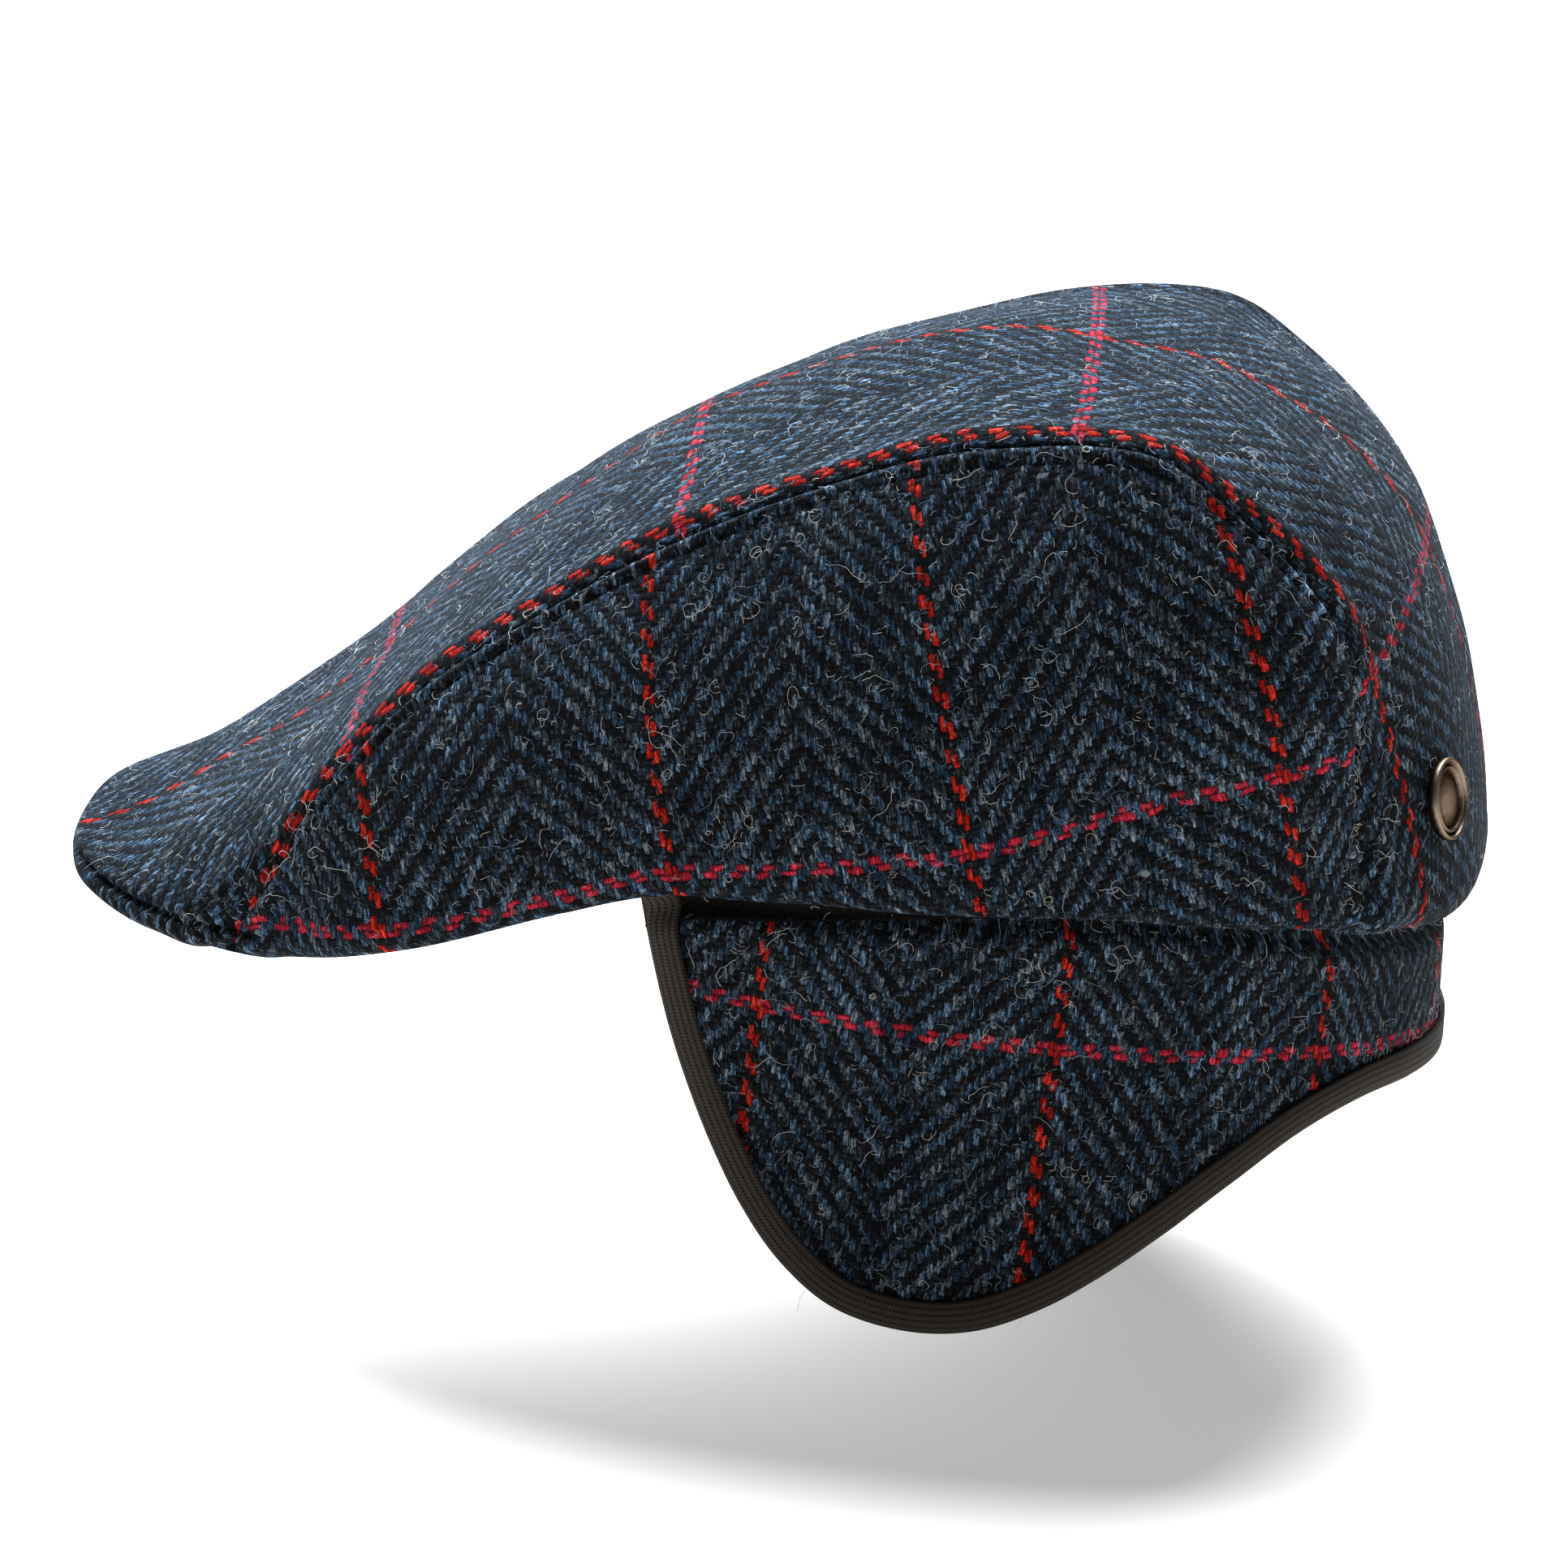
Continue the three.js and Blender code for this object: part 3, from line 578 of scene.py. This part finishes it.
def side_point(along, down, edge):
    """Point of the left side panel: down is 0 at the seam and 1 at the lower edge."""
    seam = points(*(through(RIBS, name, along) for name in ("seam_x", "seam_y", "seam_z")))
    drop = length(seam - edge["start"])[..., None]
    slope = edge["slope"][..., None]
    rise = points(0, 0, 1)
    leave = edge["out"] * math.cos(SIDE_START_SLOPE) - rise * math.sin(SIDE_START_SLOPE)
    arrive = rise * np.sin(slope) - edge["out"] * np.cos(slope)
    one = seam + leave * drop * SIDE_START_PULL
    two = edge["start"] + arrive * drop * SIDE_END_PULL
    d = down[..., None]
    return (seam * (1 - d) ** 3 + 3 * one * d * (1 - d) ** 2
            + 3 * two * d ** 2 * (1 - d) + edge["start"] * d ** 3)


def pressed_flat(grid, flat, passes=3000):
    """A grid of cloth laid flat, with its edges and diagonals kept near their lengths."""
    steps = [(1, 0), (0, 1), (1, 1), (1, -1)]
    for _ in range(passes):
        move = np.zeros_like(flat)
        count = np.zeros(flat.shape[:2])
        for i, j in steps:
            first = slice(0, flat.shape[0] - i), slice(max(-j, 0), flat.shape[1] - max(j, 0))
            second = slice(i, flat.shape[0]), slice(max(j, 0), flat.shape[1] + min(j, 0))
            rest = length(grid[second] - grid[first])
            way = flat[second] - flat[first]
            far = np.maximum(length(way), 1e-6)
            pull = way * ((far - rest) / far * (0.3 if i and j else 1))[..., None]
            move[first] += pull
            move[second] -= pull
            count[first] += 1
            count[second] += 1
        flat += 0.4 * move / count[..., None]
    return flat


def turned(cloth, degrees, start):
    """Cloth places turned about the grain and counted from a red end and a red pick."""
    turn = math.radians(degrees)
    way = np.array([[math.cos(turn), -math.sin(turn)], [math.sin(turn), math.cos(turn)]])
    return cloth @ way - start


def powers(along, down):
    """Terms of a smooth surface over the panel, for laying it on the cloth."""
    along, down = np.broadcast_arrays(2 * along - 1, 2 * down - 1)
    return np.stack([along ** i * down ** j
                     for i in range(ALONG_POWERS) for j in range(DOWN_POWERS)], -1)


along = np.linspace(0, 1, 37)[:, None]
down = np.linspace(0, 1, 11)[None, :]
coarse = with_set(side_point(along, down, lower_edge(1 + along)))
flat = pressed_flat(coarse, coarse[..., 1:] * (1, -1))
terms = powers(along, down).reshape(-1, ALONG_POWERS * DOWN_POWERS)
laid = np.linalg.lstsq(terms, flat.reshape(-1, 2), rcond=None)[0]

along = np.linspace(0, 1, PANEL_ROWS + 1)[:, None]
down = np.linspace(0, 1, SIDE_COLUMNS + 1)[None, :]
side_edge = lower_edge(1 + along)
side_face = side_point(along, down, side_edge)
side_turn = under.T * side_edge["turn"]
side_grid = np.concatenate([side_face, turn_under(side_edge, side_turn)], 1)
side_cloth = powers(along, down) @ laid
hem_cloth = side_cloth[:, -1:] + np.stack([0 * side_turn, side_turn], -1)
side_cloth = turned(np.concatenate([side_cloth, hem_cloth], 1), SIDE_CLOTH_TURN, SIDE_CLOTH_START)

# The two panels face the same way where they are sewn together, all round the side panel
top_normals = grid_normals(top_grid)
side_normals = grid_normals(side_grid)
sewn = unit(top_normals[:, -1] + np.concatenate([
    side_normals[0, :SIDE_COLUMNS:-1],
    side_normals[:, 0],
    side_normals[-1, SIDE_COLUMNS + 1:],
]))
top_distance = (1 - np.abs(across)) * through(RIBS, "seam_x", row_along)[:, None]
top_sewn = np.where(across[:, None] > 0, sewn[:, None], sewn[:, None] * (-1, 1, 1))
top_normals = unit(mix(top_sewn, top_normals, smooth(top_distance, 0, SEWN_WIDTH)[..., None]))
along_run = run_of(side_grid, 0)
along_run = np.minimum(along_run, along_run[-1] - along_run)
down_run = run_of(side_grid, 1)
side_distance = np.minimum(along_run, down_run)
side_distance[:, :SIDE_COLUMNS + 1] = down_run[:, :SIDE_COLUMNS + 1]
side_sewn = np.repeat(sewn[TURN_ROWS:-TURN_ROWS, None], side_grid.shape[1], 1)
middle_row = PANEL_ROWS // 2
side_sewn[:middle_row, SIDE_COLUMNS + 1:] = sewn[TURN_ROWS - 1::-1]
side_sewn[middle_row:, SIDE_COLUMNS + 1:] = sewn[-TURN_ROWS:]
side_normals = unit(mix(side_sewn, side_normals, smooth(side_distance, 0, SEWN_WIDTH)[..., None]))

top_rise = SEAM_ROLL * (ridge(top_distance, 5, 3) - ridge(top_distance, 0, 3))
top_rise += crease_rise(run[TURN_ROWS] - run, smooth(np.abs(across), 0.25, 0.5))
top_rise = mix(-SEAM_DIP, top_rise, smooth(top_distance, 0, SEAM_DIP_WIDTH))
top_panel = cloth_piece("top_panel", raised(top_grid, top_rise, top_normals), top_cloth,
                        raised(top_grid, 0 * top_rise - CROWN_WALL, top_normals), tweed, lining)


# Side panels: a crescent of the same tweed on each side, sewn to the top panel above and
# turned up into a hem below, with its seam pressed down and stitched.
side_drop = down_run[:, SIDE_COLUMNS, None]
pressed = smooth(side_drop, 14, 30)
side_rise = 0.3 * ridge(down_run, 2.6, 1) - PRESS_DEPTH * ridge(down_run, PRESS_LINE, 0.8)
side_rise *= pressed
side_rise += crease_rise(down_run - side_drop, 1 - smooth(along, 0.02, 0.12))
side_rise = mix(-SEAM_DIP, side_rise, smooth(side_distance, 0, SEAM_DIP_WIDTH))
for name, grid, rise, normals, cloth in [
    ("side_panel_left", side_grid, side_rise, side_normals, side_cloth),
    ("side_panel_right", mirrored(side_grid), side_rise[:, ::-1], mirrored(side_normals),
     side_cloth[:, ::-1]),
]:
    panel = cloth_piece(name, raised(grid, rise, normals), cloth,
                        raised(grid, 0 * rise - CROWN_WALL, normals), tweed, lining)


# Underside of the peak: one more piece of the tweed, from the seam under the front edge
# back to the head opening, over a stiff board.
PEAK_WALL = 3
PEAK_COLUMNS = 30
PEAK_ROWS = 60

ways = np.concatenate([np.linspace(0, 1, PEAK_ROWS + 1), 1 + np.linspace(0, 1, 181)[1:]])
ways = ways[lower_edge(ways)["angle"] <= PEAK_END_ANGLE]
peak_edge = lower_edge(ways[:, None])
part = np.linspace(0, 1, PEAK_COLUMNS + 1)[None, :] ** 1.5
peak_half = turn_under(peak_edge, mix(peak_edge["turn"] + 2 * SEAM_GAP, peak_edge["length"], part))
peak_grid = np.concatenate([peak_half[:0:-1] * (-1, 1, 1), peak_half])
peak_back = peak_grid - grid_normals(peak_grid) * PEAK_WALL
peak_underside = cloth_piece("peak_underside", with_set(peak_grid), peak_grid[..., :2],
                             with_set(peak_back), tweed, lining)


# Earflap band: two layers of tweed sewn inside the hem from temple to temple round the
# back, unfolded so that it hangs over the ears and the nape.
FlapEdge = namedtuple("FlapEdge", "angle z")
FLAP_EDGE = [
    FlapEdge(65.6, 10),
    FlapEdge(65.9, -2),
    FlapEdge(67, -13.6),
    FlapEdge(68.6, -26),
    FlapEdge(70.5, -36.8),
    FlapEdge(73.2, -49),
    FlapEdge(76.7, -61.4),
    FlapEdge(81.2, -72.4),
    FlapEdge(87.1, -80.8),
    FlapEdge(94.8, -84.8),
    FlapEdge(102.5, -84.8),
    FlapEdge(110, -80.8),
    FlapEdge(117, -74.8),
    FlapEdge(124.5, -67.4),
    FlapEdge(133, -59.2),
    FlapEdge(143, -51.6),
    FlapEdge(154, -48.2),
    FlapEdge(167, -48.6),
    FlapEdge(180, -49.8),
]
FLAP_TOP = 10
FLAP_LEAN = 0.055
FLAP_WALL = 3
TAPE_WALL = 0.9
BAND_INSET = TAPE_WALL + 2 * SEAM_GAP
BAND_COLUMNS = 150
BAND_ROWS = 110
BAND_CLOTH_TURN = 7.5
BAND_CLOTH_START = (128.8, 4.8)
BAND_EASE = 12
BAND_EASE_FROM = 235
BAND_EASE_TO = 290
FOLD_DEPTH = 4.5
FOLD_DROP = 2.6
FOLD_HEIGHT = 2.8
FOLD_FROM = 66
FOLD_FULL = 71
FOLD_THINNING = 0.5

hem = lower_edge(np.linspace(1, 3, 401))
hem_level = hem["start"][:, 2] - hem["radius"] * (1 + np.cos(hem["slope"]))


def unfolding(angle, z):
    """How near a place is to the fold, just under the hem, where the band is folded down."""
    middle = np.interp(angle, hem["angle"], hem_level) - FOLD_DROP
    return ridge(z, middle, FOLD_HEIGHT) * smooth(angle, FOLD_FROM, FOLD_FULL)


def lean_point(angle, z, out):
    """The band leans in towards the neck as it hangs, and dips in at its fold."""
    out = out + FLAP_LEAN * np.minimum(z, 0) - FOLD_DEPTH * unfolding(angle, z)
    return head_point(angle, z, out)


def band_point(part, inset, out):
    """Point of the band, inset from its free edge and out from its face."""
    angle, z = (through(FLAP_EDGE, name, part) for name in ("angle", "z"))
    scale = length(head_point(angle - 0.5, 0) - head_point(angle + 0.5, 0))
    ends = np.clip(part - 0.01, 0, 1), np.clip(part + 0.01, 0, 1)
    turn, rise = (through(FLAP_EDGE, name, ends[1]) - through(FLAP_EDGE, name, ends[0])
                  for name in ("angle", "z"))
    way = unit(np.stack([turn * scale, rise], -1))
    way[part >= 1] = (1, 0)
    return lean_point(angle - inset * way[..., 1] / scale, z + inset * way[..., 0], out)


part = np.linspace(0, 1, BAND_COLUMNS + 1)
foot = band_point(part, BAND_INSET, 0)
foot_angle = np.where(part == 1, 180, head_angle(foot))
top_angle = mix(FLAP_EDGE[0].angle + 1.1, 180, part ** 1.15)
drop = np.linspace(0, 1, BAND_ROWS + 1)[None, :] ** 1.4
angle = mix(top_angle[:, None], foot_angle[:, None], drop)
level = mix(FLAP_TOP, foot[:, None, 2], drop)
band_half = lean_point(angle, level, 0)
band_half[:, -1] = foot
band_grid = np.concatenate([band_half, band_half[-2::-1] * (-1, 1, 1)])
band_wall = FLAP_WALL * (1 - FOLD_THINNING * unfolding(angle, level))
band_wall = np.concatenate([band_wall, band_wall[-2::-1]])[..., None]
head_round = np.linspace(0, 360, 1441)
head_run = np.insert(np.cumsum(length(np.diff(head_point(head_round, 0), axis=0))), 0, 0)
band_angle = np.concatenate([angle, 360 - angle[-2::-1]])
band_run = np.interp(band_angle, head_round, head_run)
band_cloth = np.stack([band_run, -band_grid[..., 2]], -1)
band_cloth = turned(band_cloth, BAND_CLOTH_TURN, BAND_CLOTH_START)
band_cloth[..., 0] += BAND_EASE * smooth(band_run, BAND_EASE_FROM, BAND_EASE_TO)
band_back = band_grid - grid_normals(band_grid) * band_wall
earflap_band = cloth_piece("earflap_band", band_grid, band_cloth, band_back, tweed, lining)


# Binding: a near-black ribbed tape, folded over the flap's free edge and sewn through both
# sides of it near its own edges.
TAPE_WIDTH = 7
TAPE_STEPS = 260
TAPE_RIB = 1.3
TAPE_PICK = 0.7
TAPE_ROUND = 17.1
STITCH_IN = 1.3
STITCH = 2.4

# Woven cotton tape, with low ribs along it and a fine pick across: a matt near-black edge
binding_tape, tree, shader = new_material("ribbed_binding_tape")
cloth_map = add(tree, "UVMap", uv_map="cloth")
place = add(tree, "SeparateXYZ", cloth_map)
rib = add(tree, "Math", place.outputs["Y"], TAPE_RIB, operation="DIVIDE")
rib_side = add(tree, "Math", rib, 1, operation="PINGPONG")
lean = add(tree, "Math", rib_side, 0.8, operation="MULTIPLY")
pick = add(tree, "Math", place.outputs["X"], lean, operation="ADD")
pick = add(tree, "Math", pick, math.tau / TAPE_PICK, operation="MULTIPLY")
pick = add(tree, "Math", pick, operation="SINE")
crown = add(tree, "Math", rib, math.pi, operation="MULTIPLY")
crown = add(tree, "Math", crown, operation="SINE")
crown = add(tree, "Math", crown, operation="ABSOLUTE")
woven = add(tree, "Math", pick, 0.4, crown, operation="MULTIPLY_ADD")
lint = add(tree, "TexNoise", cloth_map, named={"Scale": 0.8, "Detail": 4})
tint = add(tree, "Math", lint, 0.5, woven, operation="MULTIPLY_ADD")
tone = add(tree, "ValToRGB", tint)
tone.color_ramp.elements[0].position = 0.2
tone.color_ramp.elements[0].color = linear("0c0a08")
tone.color_ramp.elements[1].position = 1
tone.color_ramp.elements[1].color = linear("332e29")
from_edge = add(tree, "Math", place.outputs["Y"], TAPE_ROUND / 2, operation="PINGPONG")
stitched = add(tree, "Math", from_edge, STITCH_IN, 0.35, operation="COMPARE")
stitch_part = add(tree, "Math", place.outputs["X"], STITCH, operation="FLOORED_MODULO")
stitch_part = add(tree, "Math", stitch_part, STITCH * 0.75, operation="LESS_THAN")
stitched = add(tree, "Math", stitched, stitch_part, operation="MULTIPLY")
woven = add(tree, "Math", stitched, -0.8, woven, operation="MULTIPLY_ADD")
bump = add(tree, "Bump", named={"Strength": 0.6, "Distance": 0.00018, "Height": woven})
tree.links.new(tone.outputs[0], shader.inputs["Base Color"])
tree.links.new(bump.outputs[0], shader.inputs["Normal"])
shader.inputs["Roughness"].default_value = 0.9
shader.inputs["Specular IOR Level"].default_value = 0.1

round_tape = np.radians(np.linspace(0, 180, 13))
half_wall = FLAP_WALL / 2 + SEAM_GAP
outer = half_wall + TAPE_WALL
middle = -FLAP_WALL / 2
section = [(TAPE_WIDTH, SEAM_GAP + TAPE_WALL)]
section += [(outer - outer * math.sin(t), middle + outer * math.cos(t)) for t in round_tape]
section += [(TAPE_WIDTH, -FLAP_WALL - SEAM_GAP - TAPE_WALL), (TAPE_WIDTH, -FLAP_WALL - SEAM_GAP)]
section += [(outer - half_wall * math.sin(t), middle - half_wall * math.cos(t)) for t in round_tape]
section += [(TAPE_WIDTH, SEAM_GAP), (TAPE_WIDTH, SEAM_GAP + TAPE_WALL)]
part = np.linspace(0, 1, TAPE_STEPS + 1)
tape_half = np.stack([band_point(part, inset, out) for inset, out in section], 1)
tape_grid = np.concatenate([tape_half, tape_half[-2::-1] * (-1, 1, 1)])
tape_cloth = np.stack([run_of(tape_grid, 0), run_of(tape_grid, 1)], -1)
binding = cloth_piece("binding", tape_grid, tape_cloth, None, binding_tape)


# Painted shade: a thin sheet of near-black cotton laid on the band from just above the hem line to
# a little below it, standing in for the shade in the slot under the hem, and running out towards the
# back.
# It reaches this far below the hem line, by the angle in degrees round the head.
SHADE_STRIP_DOWN = {66: 5.8, 76: 5.4, 94: 3.6, 124: 1.7, 180: 1}
SHADE_STRIP_UP = 1.5
SHADE_STRIP_WALL = 0.5
SHADE_STRIP_CLEAR = 0.1
SHADE_STRIP_FRONT = 66.8
SHADE_STRIP_STEPS = 200
SHADE_STRIP_COLUMNS = 12

# Near-black matt cotton, a little rough: painted shade, so that the strip reads as the dark shadow
# line under the hem
shade_strip_cotton, tree, shader = new_material("painted_shade_cotton")
cloth_map = add(tree, "UVMap", uv_map="cloth")
slub = add(tree, "TexNoise", cloth_map, named={"Scale": 1.6, "Detail": 3})
tone = add(tree, "ValToRGB", slub)
tone.color_ramp.elements[0].position, tone.color_ramp.elements[0].color = 0.35, linear("030303")
tone.color_ramp.elements[1].position, tone.color_ramp.elements[1].color = 0.8, linear("14120f")
bump = add(tree, "Bump", named={"Strength": 0.6, "Distance": 0.0003, "Height": slub})
tree.links.new(tone.outputs[0], shader.inputs["Base Color"])
tree.links.new(bump.outputs[0], shader.inputs["Normal"])
shader.inputs["Roughness"].default_value = 0.95
shader.inputs["Specular IOR Level"].default_value = 0.04

angle = np.linspace(SHADE_STRIP_FRONT, 180, SHADE_STRIP_STEPS + 1)[:, None]
part = np.linspace(0, 1, SHADE_STRIP_COLUMNS + 1)[None, :]
hem_line = np.interp(angle, hem["angle"], hem_level)
shade_strip_foot = hem_line - np.interp(angle, list(SHADE_STRIP_DOWN), list(SHADE_STRIP_DOWN.values()))
level = mix(hem_line + SHADE_STRIP_UP, shade_strip_foot, part)
strip_half = lean_point(angle, level, SHADE_STRIP_WALL + SHADE_STRIP_CLEAR)
strip_grid = np.concatenate([strip_half, strip_half[-2::-1] * (-1, 1, 1)])
back_half = lean_point(angle, level, SHADE_STRIP_CLEAR)
strip_back = np.concatenate([back_half, back_half[-2::-1] * (-1, 1, 1)])
strip_cloth = np.stack([run_of(strip_grid, 0), run_of(strip_grid[:, ::-1], 1)[:, ::-1]], -1)
# The strip is painted shade: a near-black sheet where the hem's shadow falls on the band.
painted_shade_strip = cloth_piece("painted_shade_strip", strip_grid, strip_cloth, strip_back, shade_strip_cotton, in_cad=False)


# Badge: a small round of die-struck pewter with a double raised rim, riveted through the
# top panel low on the back.
BADGE_DIAMETER = 15.5
BADGE_THICKNESS = 2
BADGE_ALONG = 0.948
BADGE_ACROSS = 0.55

# Pewter, rubbed bright on the rims and tarnished brown in the sunken field
pewter, tree, shader = new_material("antique_pewter")
spot = add(tree, "TexCoord")
stain = add(tree, "TexNoise", spot.outputs["Object"], named={"Scale": 900, "Detail": 3})
worn = add(tree, "Attribute", attribute_name="worn")
worn = add(tree, "Math", stain, 0.35, worn.outputs["Fac"], operation="MULTIPLY_ADD")
tone = add(tree, "ValToRGB", worn)
tone.color_ramp.elements[0].position, tone.color_ramp.elements[0].color = 0.6, linear("352a21")
tone.color_ramp.elements[1].position, tone.color_ramp.elements[1].color = 1, linear("6e6257")
bump = add(tree, "Bump", named={"Strength": 0.6, "Distance": 0.0001, "Height": stain})
tree.links.new(tone.outputs[0], shader.inputs["Base Color"])
tree.links.new(bump.outputs[0], shader.inputs["Normal"])
shader.inputs["Metallic"].default_value = 1
shader.inputs["Roughness"].default_value = 0.42
shader.inputs["Specular Tint"].default_value = linear("5c5046")

radius = BADGE_DIAMETER / 2
profile = [
    (0, 0), (radius - 0.3, 0), (radius, 0.4), (radius, 1.6), (radius - 0.2, 1.9),
    (radius - 0.5, BADGE_THICKNESS), (radius - 0.75, 1.7), (radius - 0.95, 0.9),
    (radius - 1.3, 0.9), (radius - 1.5, 1.5), (radius - 1.75, 1.7), (radius - 2, 1.5),
    (radius - 2.3, 0.8), (radius - 3, 1), (radius - 4.5, 1.4), (radius - 6, 1.65), (0, 1.7),
]
disc = bmesh.new()
wear = disc.verts.layers.float.new("worn")
line = [disc.verts.new((x, 0, z)) for x, z in profile]
edges = [disc.edges.new(pair) for pair in zip(line, line[1:])]
bmesh.ops.spin(disc, geom=[*line, *edges], axis=(0, 0, 1), cent=(0, 0, 0), steps=96,
               angle=math.tau, use_merge=True)
bmesh.ops.remove_doubles(disc, verts=disc.verts, dist=0.001)
bmesh.ops.recalc_face_normals(disc, faces=disc.faces)
for vert in disc.verts:
    vert[wear] = vert.co.z / BADGE_THICKNESS
step = 0.01
at = np.array([BADGE_ALONG]), np.array([BADGE_ACROSS])
place = with_set(top_point(*at))[0]
right = (top_point(at[0], at[1] + step) - top_point(at[0], at[1] - step))[0]
rear = (top_point(at[0] + step, at[1]) - top_point(at[0] - step, at[1]))[0]
normal = Vector(np.cross(right, rear)).normalized()
place = Vector(place) + normal * float(uneven(place[None])[0])
turn = Vector((0, 0, 1)).rotation_difference(normal).to_matrix().to_4x4()
bmesh.ops.transform(disc, verts=disc.verts,
                    matrix=Matrix.Translation(place + normal * SEAM_GAP) @ turn)
bmesh.ops.scale(disc, verts=disc.verts, vec=(0.001, 0.001, 0.001))
mesh = bpy.data.meshes.new("badge")
disc.to_mesh(mesh)
disc.free()
mesh.shade_smooth()
mesh.materials.append(pewter)
badge = bpy.data.objects.new("badge", mesh)
bpy.context.scene.collection.objects.link(badge)
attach(badge, "root")
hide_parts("badge")


# Loose fibres: wool hairs, springing out of the tweed all over, pale, curly and up to 14 mm long.
# They are drawn a little thicker than wool, or they would be lost in the render.
FIBRE_RADIUS = 0.034
FIBRE_STEP = 0.6
FIBRE_LIFT = 0.9

wool_fibre, tree, shader = new_material("undyed_wool_fibre")
spot = add(tree, "TexCoord")
tone = add(tree, "TexNoise", spot.outputs["Object"], named={"Scale": 160, "Detail": 0})
tone = add(tree, "ValToRGB", tone)
stops = tone.color_ramp.elements
stops[0].position, stops[0].color = 0.38, linear("4a6078")
stops[1].position, stops[1].color = 0.64, linear("b4b2a8")
stops.new(0.5).color = linear("7f8b96")
tree.links.new(tone.outputs[0], shader.inputs["Base Color"])
shader.inputs["Roughness"].default_value = 0.7

draw = np.random.default_rng(11)


def loose_fibres(name, grid, long_ones, short_ones):
    """Hairs on a grid of cloth, each a thin curl that wanders over the face and back into it."""
    normals = grid_normals(grid)
    area = length(np.cross(np.gradient(grid, axis=0), np.gradient(grid, axis=1))).ravel()
    flat, facing = grid.reshape(-1, 3), normals.reshape(-1, 3)
    hairs = bpy.data.curves.new(name, "CURVE")
    hairs.dimensions = "3D"
    hairs.bevel_depth = FIBRE_RADIUS * 0.001
    hairs.bevel_resolution = 0
    hairs.use_fill_caps = True
    for root in draw.choice(len(flat), long_ones + short_ones, p=area / area.sum()):
        is_long = draw.random() < long_ones / (long_ones + short_ones)
        steps = draw.integers(7, 19) if is_long else draw.integers(3, 6)
        normal = facing[root]
        right = unit(np.cross(normal, draw.normal(size=3)))
        ahead = np.cross(right, normal)
        heading = np.cumsum(draw.normal(draw.normal(0, 0.35), 0.35, steps))
        climb = np.sin(np.linspace(0, math.pi * draw.uniform(0.6, 1), steps))
        step = FIBRE_STEP * draw.uniform(0.7, 1.1)
        x = np.cumsum(np.cos(heading)) * step
        y = np.cumsum(np.sin(heading)) * step
        lift = climb * draw.uniform(0.3, FIBRE_LIFT) - 0.1
        places = flat[root] + x[:, None] * right + y[:, None] * ahead + lift[:, None] * normal
        nearest = places - (((x ** 2 + y ** 2) / 220)[:, None] * normal)
        spline = hairs.splines.new("POLY")
        spline.points.add(steps - 1)
        ends = np.concatenate([nearest * 0.001, np.ones((steps, 1))], 1)
        spline.points.foreach_set("co", ends.ravel())
    solid = bpy.data.objects.new(name, hairs)
    mesh = bpy.data.meshes.new_from_object(solid)
    bpy.data.objects.remove(solid)
    bpy.data.curves.remove(hairs)
    mesh.name = name
    mesh.materials.clear()
    mesh.materials.append(wool_fibre)
    mesh.shade_smooth()
    made = bpy.data.objects.new(name, mesh)
    bpy.context.scene.collection.objects.link(made)
    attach(made, "root")


for name, grid, long_ones, short_ones in [
    ("fibres_top", with_set(top_grid), 640, 1500),
    ("fibres_left", with_set(side_grid[:, :SIDE_COLUMNS]), 330, 750),
    ("fibres_right", with_set(mirrored(side_grid[:, :SIDE_COLUMNS])), 330, 750),
    ("fibres_band", band_grid[:, 10:], 480, 1000),
]:
    loose_fibres(name, grid, long_ones, short_ones)
